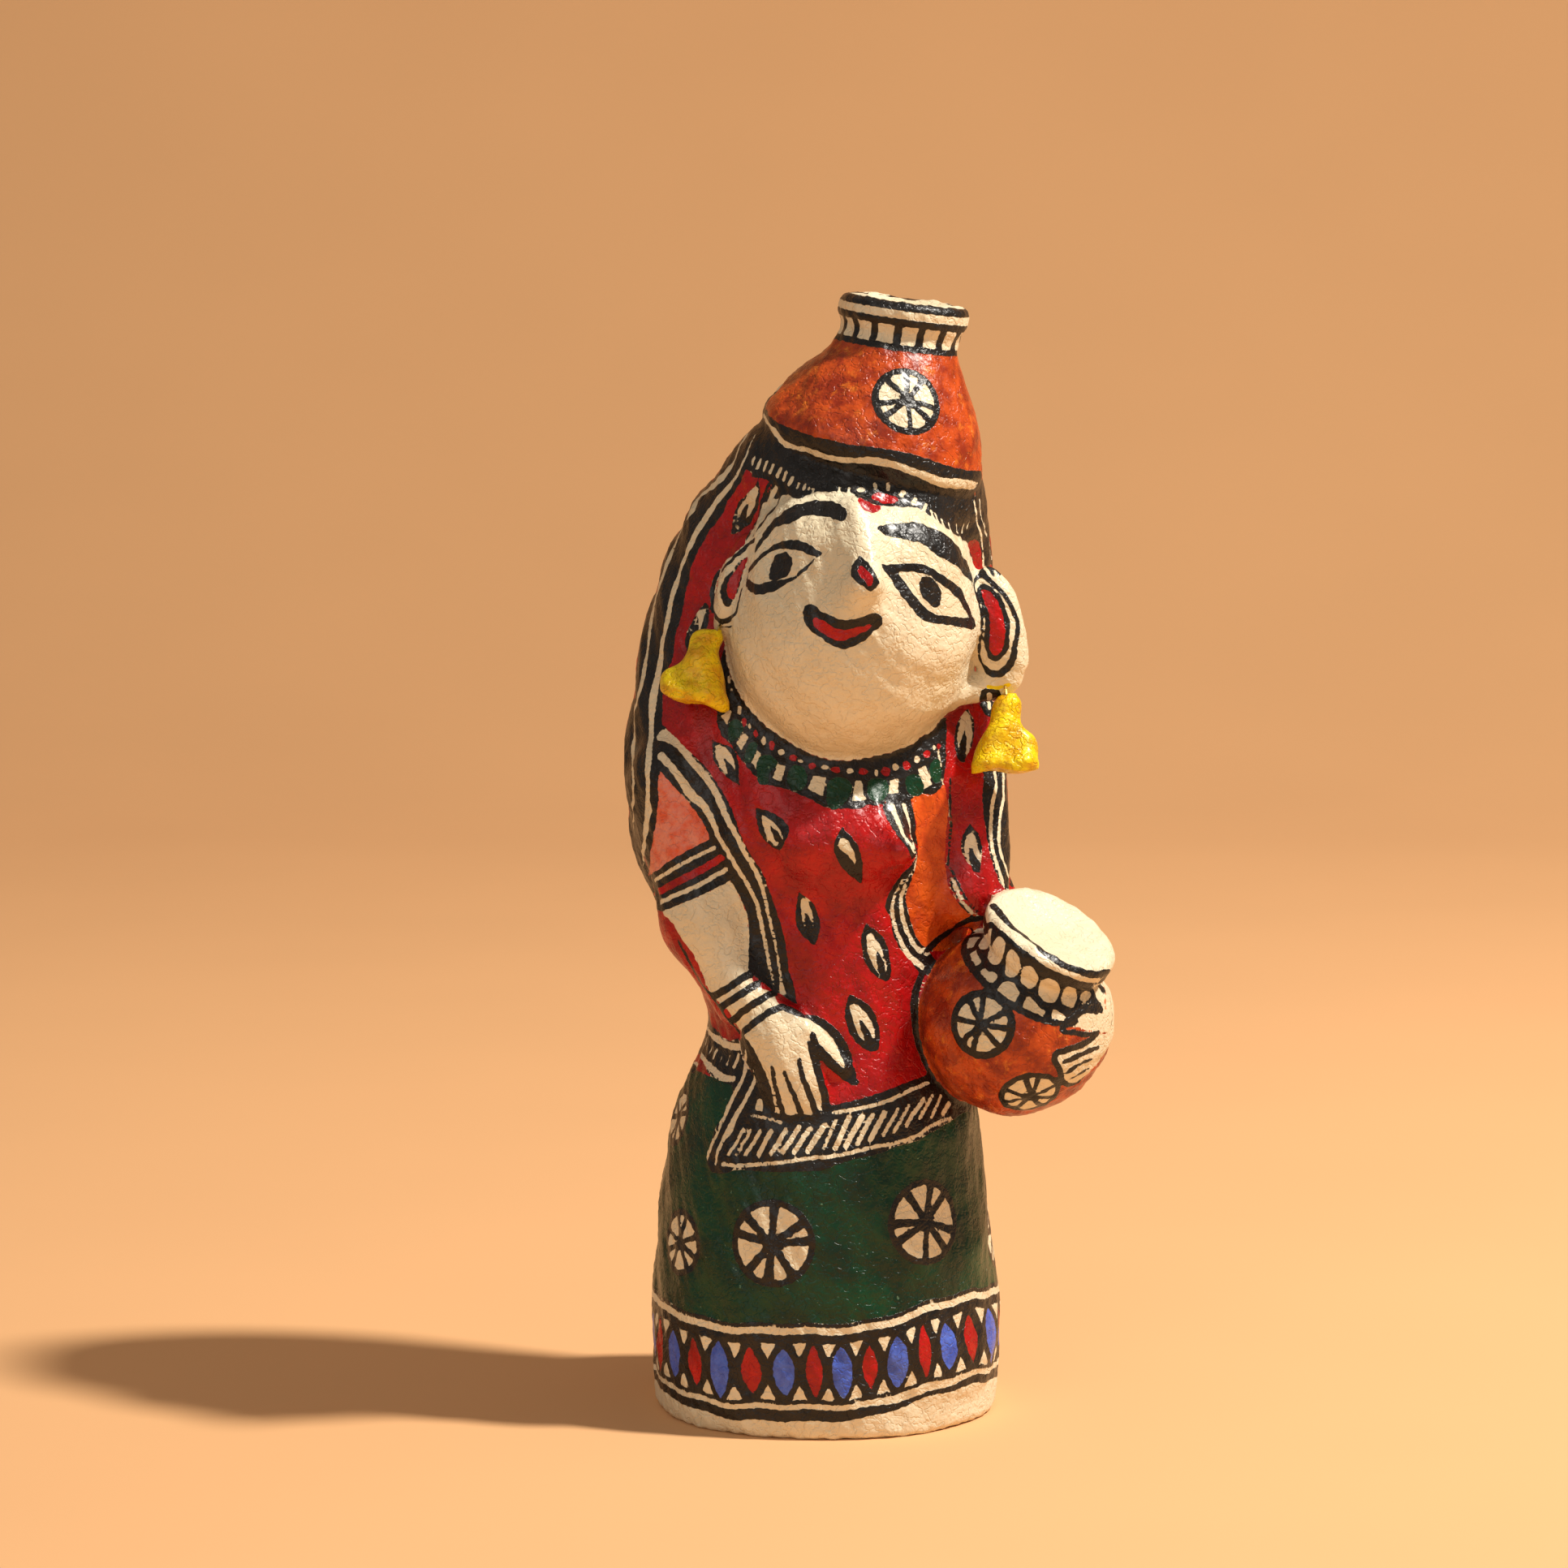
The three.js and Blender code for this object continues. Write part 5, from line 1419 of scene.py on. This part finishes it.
# ---- materials ----
class Tree:
    """A node tree that is built by calls: each adds a node, sets its inputs or links them."""

    def __init__(self, tree):
        self.tree = tree
        tree.nodes.clear()

    def node(self, kind, inputs=None, **settings):
        """A new node with its settings and its inputs, each a value or a socket to link."""
        node = self.tree.nodes.new(kind)
        for name, value in settings.items():
            setattr(node, name, value)
        for name, value in (inputs or {}).items():
            if isinstance(value, bpy.types.NodeSocket):
                self.tree.links.new(value, node.inputs[name])
            else:
                node.inputs[name].default_value = value
        return node

    def sum(self, operation, a, b=0.0, c=0.0):
        """Result of a Math node."""
        return self.node("ShaderNodeMath", {0: a, 1: b, 2: c}, operation=operation).outputs[0]

    def noise(self, at, scale, detail=2.0, roughness=0.5):
        """Noise from 0 to 1, with scale in cells for each metre."""
        values = {"Vector": at, "Scale": scale, "Detail": detail, "Roughness": roughness}
        return self.node("ShaderNodeTexNoise", values).outputs[0]

    def ramp(self, value, low, high):
        """A smooth step from 0 at low to 1 at high."""
        values = {"Value": value, "From Min": low, "From Max": high}
        return self.node("ShaderNodeMapRange", values, interpolation_type="SMOOTHSTEP").outputs[0]

    def mix(self, amount, a, b):
        """Colour a, or b where amount is 1."""
        node = self.node("ShaderNodeMix", data_type="RGBA")
        for socket, value in ((node.inputs[0], amount), (node.inputs[6], a), (node.inputs[7], b)):
            if isinstance(value, bpy.types.NodeSocket):
                self.tree.links.new(value, socket)
            else:
                socket.default_value = value
        return node.outputs[2]


def new_group(name, inputs, outputs):
    """A node group with named sockets: name, kind and default of each input."""
    tree = bpy.data.node_groups.new(name, "ShaderNodeTree")
    made = Tree(tree)
    for socket, kind, default in inputs:
        made_socket = tree.interface.new_socket(socket, in_out="INPUT", socket_type="NodeSocket" + kind)
        if default is not None:
            made_socket.default_value = default
    for socket, kind in outputs:
        tree.interface.new_socket(socket, in_out="OUTPUT", socket_type="NodeSocket" + kind)
    return made, made.node("NodeGroupInput"), made.node("NodeGroupOutput")


def coat_edge_group():
    """Coat edge: turns a coat's field in mm into a mask, with an edge that the brush left ragged."""
    made, given, result = new_group(
        "Coat edge",
        [("Field", "Float", FAR), ("Place", "Vector", None), ("Spread", "Float", 0.0)],
        [("Mask", "Float")],
    )
    ragged = made.noise(given.outputs["Place"], 900.0, 3.0)
    field = made.sum("SUBTRACT", given.outputs["Field"], given.outputs["Spread"])
    moved = made.sum("MULTIPLY_ADD", ragged, 0.24, field)
    made.tree.links.new(made.ramp(moved, 0.2, 0.04), result.inputs["Mask"])
    return made.tree


def uneven_paint_group():
    """Uneven paint: a coat that is thicker here and thinner there, in two shades."""
    made, given, result = new_group(
        "Uneven paint",
        [
            ("Place", "Vector", None), ("Light", "Color", (1, 1, 1, 1)), ("Dark", "Color", (0, 0, 0, 1)),
            ("Scale", "Float", 100.0), ("Contrast", "Float", 0.3),
        ],
        [("Color", "Color")],
    )
    wide = made.noise(given.outputs["Place"], given.outputs["Scale"], 5.0, 0.6)
    low = made.sum("SUBTRACT", 0.5, given.outputs["Contrast"])
    high = made.sum("ADD", 0.5, given.outputs["Contrast"])
    colour = made.mix(made.ramp(wide, low, high), given.outputs["Dark"], given.outputs["Light"])
    made.tree.links.new(colour, result.inputs["Color"])
    return made.tree


def pulp_relief_group():
    """Pulp relief: height of small pressed lumps, fibres and pits, from 0 to 1."""
    made, given, result = new_group("Pulp relief", [("Place", "Vector", None)], [("Height", "Float")])
    place = given.outputs["Place"]
    lumps = made.noise(place, 170.0, 3.0, 0.6)
    fibres = made.noise(place, 700.0, 3.0, 0.6)
    creased = made.noise(place, 330.0, 2.0)
    crease = made.sum("ABSOLUTE", made.sum("SUBTRACT", creased, 0.5))
    total = made.sum("MULTIPLY_ADD", fibres, 0.22, made.sum("MULTIPLY", lumps, 0.75))
    height = made.sum("MULTIPLY_ADD", made.ramp(crease, 0, 0.06), 0.1, total)
    made.tree.links.new(height, result.inputs["Height"])
    return made.tree


def varnished(made, colour, roughness, height, depth, coat=0.16):
    """The Principled shader of varnished paint, with the relief as its bump."""
    bump = made.node("ShaderNodeBump", {"Height": height, "Distance": depth, "Strength": 1.0})
    inputs = {
        "Base Color": colour, "Roughness": roughness, "Normal": bump.outputs[0], "Coat Weight": coat,
        "Coat Roughness": 0.2, "IOR": 1.5, "Specular IOR Level": 0.32,
    }
    shader = made.node("ShaderNodeBsdfPrincipled", inputs)
    made.node("ShaderNodeOutputMaterial", {"Surface": shader.outputs[0]})


def new_material(name):
    material = bpy.data.materials.new(name)
    material.use_nodes = True
    return material, Tree(material.node_tree)


def painted_pulp(paint, coat_edge, uneven_paint, relief):
    """The figure's skin: bare cream ground with each coat of paint over it, ink last."""
    material, made = new_material("painted pulp")
    place = made.node("ShaderNodeTexCoord").outputs["Object"]

    def shades(light, dark, scale, contrast):
        inputs = {
            "Place": place, "Light": (*light, 1), "Dark": (*dark, 1), "Scale": scale, "Contrast": contrast,
        }
        return made.node("ShaderNodeGroup", inputs, node_tree=uneven_paint).outputs[0]

    def mask(name, spread=0.1):
        field = made.node("ShaderNodeAttribute", attribute_name=name).outputs["Fac"]
        inputs = {"Field": field, "Place": place, "Spread": spread}
        return made.node("ShaderNodeGroup", inputs, node_tree=coat_edge).outputs[0]

    cream = shades(paint.cream, paint.cream_shade, 60.0, 0.3)
    stain = made.ramp(made.noise(place, 25.0, 4.0, 0.7), 0.62, 0.85)
    colour = made.mix(stain, cream, (*paint.cream_stain, 1))
    clay = shades(paint.clay, paint.clay_dark, 190.0, 0.14)
    bright = made.ramp(made.noise(place, 260.0, 4.0, 0.65), 0.55, 0.72)
    clay = made.mix(made.sum("MULTIPLY", bright, 0.75), clay, (*paint.clay_bright, 1))
    red = shades(paint.red, paint.red_dark, 110.0, 0.2)
    # Pale pink flecks over the red: partly painted sheen of the varnish and partly scuffs.
    sheen_and_scuff = made.ramp(made.noise(place, 420.0, 5.0, 0.75), 0.66, 0.8)
    red = made.mix(made.sum("MULTIPLY", sheen_and_scuff, 0.3), red, (*paint.red_sheen_and_scuff, 1))
    green = shades(paint.green, paint.green_dark, 90.0, 0.2)
    speck = made.ramp(made.noise(place, 800.0, 2.0), 0.71, 0.76)
    green = made.mix(made.sum("MULTIPLY", speck, 0.5), green, (*paint.green_speck, 1))
    salmon = shades(paint.salmon, paint.salmon_pale, 260.0, 0.16)
    for name, coat in (
        ("clay", clay), ("orange", shades(paint.orange, paint.orange_dark, 150.0, 0.2)), ("salmon", salmon),
        ("red", red), ("green", green), ("blue", shades(paint.blue, paint.blue_dark, 300.0, 0.2)),
        ("yellow", (*paint.yellow, 1)),
    ):
        colour = made.mix(mask(name), colour, coat)
    ink = mask("ink", 0.0)
    colour = made.mix(ink, colour, shades(paint.ink, paint.ink_worn, 240.0, 0.25))
    height = made.node("ShaderNodeGroup", {"Place": place}, node_tree=relief).outputs[0]
    height = made.sum("MULTIPLY_ADD", ink, 0.09, height)
    rough = made.sum("MULTIPLY_ADD", made.noise(place, 140.0, 3.0), 0.3, 0.2)
    varnished(made, colour, rough, height, paint.relief)
    return material


def yellow_pulp(paint, uneven_paint, relief):
    """The earrings: yellow over crumpled pulp, mottled at random with a deeper yellow."""
    material, made = new_material("yellow pulp")
    place = made.node("ShaderNodeTexCoord").outputs["Object"]
    inputs = {
        "Place": place, "Light": (*paint.yellow, 1), "Dark": (*paint.yellow_dark, 1), "Scale": 240.0,
        "Contrast": 0.16,
    }
    colour = made.node("ShaderNodeGroup", inputs, node_tree=uneven_paint).outputs[0]
    height = made.node("ShaderNodeGroup", {"Place": place}, node_tree=relief).outputs[0]
    rough = made.sum("MULTIPLY_ADD", made.noise(place, 200.0, 3.0), 0.25, 0.22)
    varnished(made, colour, rough, height, paint.relief * 1.6)
    return material


def brass_wire(paint):
    """Thin wire, a little tarnished along its length."""
    material, made = new_material("brass wire")
    place = made.node("ShaderNodeTexCoord").outputs["Object"]
    dull = made.ramp(made.noise(place, 600.0, 3.0), 0.4, 0.7)
    colour = made.mix(dull, (*paint.wire, 1), (*paint.wire_dull, 1))
    inputs = {"Base Color": colour, "Metallic": 1.0, "Roughness": made.sum("MULTIPLY_ADD", dull, 0.3, 0.25)}
    shader = made.node("ShaderNodeBsdfPrincipled", inputs)
    made.node("ShaderNodeOutputMaterial", {"Surface": shader.outputs[0]})
    return material


def plain_backdrop(colour):
    """Smooth studio paper, very slightly mottled."""
    material, made = new_material("backdrop paper")
    place = made.node("ShaderNodeTexCoord").outputs["Object"]
    shade = made.ramp(made.noise(place, 6.0, 2.0), 0.2, 0.8)
    mixed = made.mix(shade, (*(c * 0.97 for c in colour), 1), (*colour, 1))
    inputs = {"Base Color": mixed, "Roughness": 0.9, "Specular IOR Level": 0.2}
    shader = made.node("ShaderNodeBsdfPrincipled", inputs)
    made.node("ShaderNodeOutputMaterial", {"Surface": shader.outputs[0]})
    return material


# ---- what a user may change ----
def tint(name, red, green, blue):
    """A colour property with a default in the usual 0 to 255 steps."""
    linear = [(c / 255 / 12.92) if c < 11 else ((c / 255 + 0.055) / 1.055) ** 2.4 for c in (red, green, blue)]
    return bpy.props.FloatVectorProperty(
        name=name, description="Colour: " + name.lower(), default=linear, min=0, max=1, subtype="COLOR"
    )


class CarrierMesh(bpy.types.PropertyGroup):
    """How finely the skin is made."""

    net: bpy.props.FloatProperty(
        name="Net", description="Cell of the skin's first net, in millimetres", default=2, min=1
    )
    fine: bpy.props.FloatProperty(
        name="Fine", description="Edge near a paint line, in millimetres", default=0.85, min=0.3
    )
    finest: bpy.props.FloatProperty(
        name="Finest", description="The same on the face, in millimetres", default=0.6, min=0.2
    )
    lumps: bpy.props.FloatProperty(
        name="Lumps", description="Height of small lumps, in millimetres", default=0.15, min=0
    )


class CarrierPaint(bpy.types.PropertyGroup):
    """Colours of the paints, and the depth of the pulp's fine relief."""

    cream: tint("Cream", 236, 224, 194)
    cream_shade: tint("Cream, thinner", 222, 205, 170)
    cream_stain: tint("Cream, stained", 196, 168, 122)
    ink: tint("Ink", 16, 14, 13)
    ink_worn: tint("Ink, worn", 34, 30, 28)
    red: tint("Red", 190, 12, 12)
    red_dark: tint("Red, thicker", 140, 8, 14)
    # Pale pink of the flecks on the red: partly painted sheen and partly scuffs.
    red_sheen_and_scuff: tint("Red, painted sheen and scuffs", 226, 110, 118)
    green: tint("Green", 3, 62, 34)
    green_dark: tint("Green, thicker", 4, 38, 22)
    green_speck: tint("Green, chipped", 120, 160, 130)
    clay: tint("Clay", 196, 76, 20)
    clay_dark: tint("Clay, thicker", 138, 40, 12)
    clay_bright: tint("Clay, thinner", 226, 124, 36)
    orange: tint("Orange", 226, 96, 22)
    orange_dark: tint("Orange, thicker", 190, 62, 14)
    salmon: tint("Salmon", 222, 92, 56)
    salmon_pale: tint("Salmon, scuffed", 226, 140, 120)
    blue: tint("Blue", 84, 114, 216)
    blue_dark: tint("Blue, thicker", 58, 84, 184)
    yellow: tint("Yellow", 244, 216, 6)
    yellow_dark: tint("Yellow, thicker", 216, 160, 2)
    wire: tint("Wire", 214, 186, 110)
    wire_dull: tint("Wire, tarnished", 150, 120, 66)
    relief: bpy.props.FloatProperty(
        name="Relief", description="Depth of the fine relief", default=0.0012, min=0, unit="LENGTH"
    )


class CarrierStage(bpy.types.PropertyGroup):
    """The backdrop and the lights."""

    backdrop: tint("Backdrop", 232, 180, 128)
    key: bpy.props.FloatProperty(
        name="Key", description="Power of the key light", default=38, min=0, unit="POWER"
    )
    fill: bpy.props.FloatProperty(
        name="Fill", description="Power of the fill light", default=7, min=0, unit="POWER"
    )
    sky: bpy.props.FloatProperty(
        name="Sky", description="Strength of the light all round", default=0.27, min=0
    )


# ---- making the pieces ----
class CARRIER_OT_figure(bpy.types.Operator):
    """Builds the figure's painted skin"""

    bl_idname = "carrier.figure"
    bl_label = "Figure"

    def execute(self, context):
        sizes, paint = context.scene.carrier_mesh, context.scene.carrier_paint
        strokes = all_strokes()
        p, triangles = surface_of(figure_field, (-60, -58, -6), (84, 50, 298), sizes.net)
        p = settle(figure_field, p)
        p, triangles, coats, out = refined(strokes, p, triangles, sizes.fine, sizes.finest)
        if len(triangles) > MOST_TRIANGLES:
            raise RuntimeError(f"the skin has {len(triangles)} triangles")
        p = kept_in(pressed(p, out, sizes.lumps), "figure")
        skin = mesh_piece("figure_skin", p, triangles, "figure")
        for n, name in enumerate(COATS):
            coat = skin.data.attributes.new(name, "FLOAT", "POINT")
            coat.data.foreach_set("value", coats[:, n].astype(np.float32))
        groups = coat_edge_group(), uneven_paint_group(), pulp_relief_group()
        skin.data.materials.append(painted_pulp(paint, *groups))
        print("skin", len(p), "corners", len(triangles), "triangles")
        return {"FINISHED"}


class CARRIER_OT_earrings(bpy.types.Operator):
    """Builds the two pulp earrings, and finishes their wire rings"""

    bl_idname = "carrier.earrings"
    bl_label = "Earrings"

    def execute(self, context):
        paint = context.scene.carrier_paint
        groups = bpy.data.node_groups["Uneven paint"], bpy.data.node_groups["Pulp relief"]
        pulp, wire = yellow_pulp(paint, *groups), brass_wire(paint)
        for side, (rim, up, crease) in EARRINGS.items():
            rim, up = np.array(rim, float), unit(up)

            def field(p, rim=rim, up=up, crease=crease):
                return earring_field(p, rim, up, crease)

            middle = rim + up * 9
            p, triangles = surface_of(field, middle - 16, middle + 16, 0.6)
            p = kept_in(settle(field, p), "earring_" + side)
            name = "earring_pulp_" + side
            piece = mesh_piece(name, p, triangles, "earring_" + side)
            piece.data.materials.append(pulp)
            ring = bpy.data.objects["earring_ring_" + side]
            ring.data.materials.clear()
            ring.data.materials.append(wire)
        return {"FINISHED"}


class CARRIER_OT_stage(bpy.types.Operator):
    """Builds the floor that sweeps up behind, the lights and the camera"""

    bl_idname = "carrier.stage"
    bl_label = "Stage"

    def execute(self, context):
        stage = context.scene.carrier_stage
        turn = np.linspace(0, math.pi / 2, 17)
        depth = np.concatenate([[-2.5], 1.0 + 0.9 * np.sin(turn), [1.9]])
        rise = np.concatenate([[0], 0.9 - 0.9 * np.cos(turn), [3.2]])
        n = len(depth)
        sheet = np.concatenate([np.stack([np.full(n, x), depth, rise], -1) for x in (-3.0, 3.0)])
        faces = [(i, n + i, n + i + 1, i + 1) for i in range(n - 1)]
        mesh = bpy.data.meshes.new("backdrop")
        mesh.from_pydata(sheet.tolist(), [], faces)
        mesh.polygons.foreach_set("use_smooth", np.ones(n - 1, bool))
        mesh.materials.append(plain_backdrop(stage.backdrop))
        backdrop = bpy.data.objects.new("backdrop", mesh)
        context.scene.collection.objects.link(backdrop)
        aim = np.array([0, 0, 0.13])
        for name, way, far, size, power, warmth in (
            ("key", (0.562, -0.113, 0.819), 1.64, 0.12, stage.key, (1, 0.95, 0.87)),
            ("fill", (-0.35, -0.9, 0.45), 2.2, 1.6, stage.fill, (1, 0.96, 0.9)),
        ):
            light = bpy.data.lights.new(name, "AREA")
            light.shape, light.size, light.energy, light.color = "DISK", size, power, warmth
            lamp = bpy.data.objects.new(name, light)
            lamp.location = aim + unit(way) * far
            lamp.rotation_euler = mathutils.Vector(unit(way)).to_track_quat("Z", "Y").to_euler()
            context.scene.collection.objects.link(lamp)
        world = bpy.data.worlds.new("studio")
        world.use_nodes = True
        made = Tree(world.node_tree)
        sky = made.node("ShaderNodeBackground", {"Color": (1, 0.93, 0.84, 1), "Strength": stage.sky})
        made.node("ShaderNodeOutputWorld", {"Surface": sky.outputs[0]})
        context.scene.world = world
        camera = bpy.data.objects.new("camera", bpy.data.cameras.new("camera"))
        camera.location = EYE * MM
        camera.rotation_euler = (math.radians(EYE_TILT), 0, 0)
        camera.data.sensor_width = FILM
        camera.data.lens = LENS
        context.scene.collection.objects.link(camera)
        context.scene.camera = camera
        context.scene.view_settings.view_transform = "Standard"
        return {"FINISHED"}


class CARRIER_PT_panel(bpy.types.Panel):
    """Lists the pieces and what can be changed"""

    bl_idname = "CARRIER_PT_panel"
    bl_label = "Water carrier"
    bl_space_type = "VIEW_3D"
    bl_region_type = "UI"
    bl_category = "Water carrier"

    def draw(self, context):
        for made, group in (
            (CARRIER_OT_figure, "carrier_mesh"), (CARRIER_OT_earrings, "carrier_paint"),
            (CARRIER_OT_stage, "carrier_stage"),
        ):
            box = self.layout.box()
            box.operator(made.bl_idname)
            owner = getattr(context.scene, group)
            for name in owner.bl_rna.properties.keys():
                if name not in ("rna_type", "name"):
                    box.prop(owner, name)


GROUPS = {"carrier_mesh": CarrierMesh, "carrier_paint": CarrierPaint, "carrier_stage": CarrierStage}
CLASSES = (*GROUPS.values(), CARRIER_OT_figure, CARRIER_OT_earrings, CARRIER_OT_stage, CARRIER_PT_panel)


def register():
    for made in CLASSES:
        bpy.utils.register_class(made)
    for name, made in GROUPS.items():
        setattr(bpy.types.Scene, name, bpy.props.PointerProperty(type=made))


def unregister():
    for name in GROUPS:
        delattr(bpy.types.Scene, name)
    for made in reversed(CLASSES):
        bpy.utils.unregister_class(made)


def main():
    """Makes every piece."""
    register()
    bpy.ops.carrier.stage()
    bpy.ops.carrier.figure()
    bpy.ops.carrier.earrings()


if __name__ == "__main__":
    main()
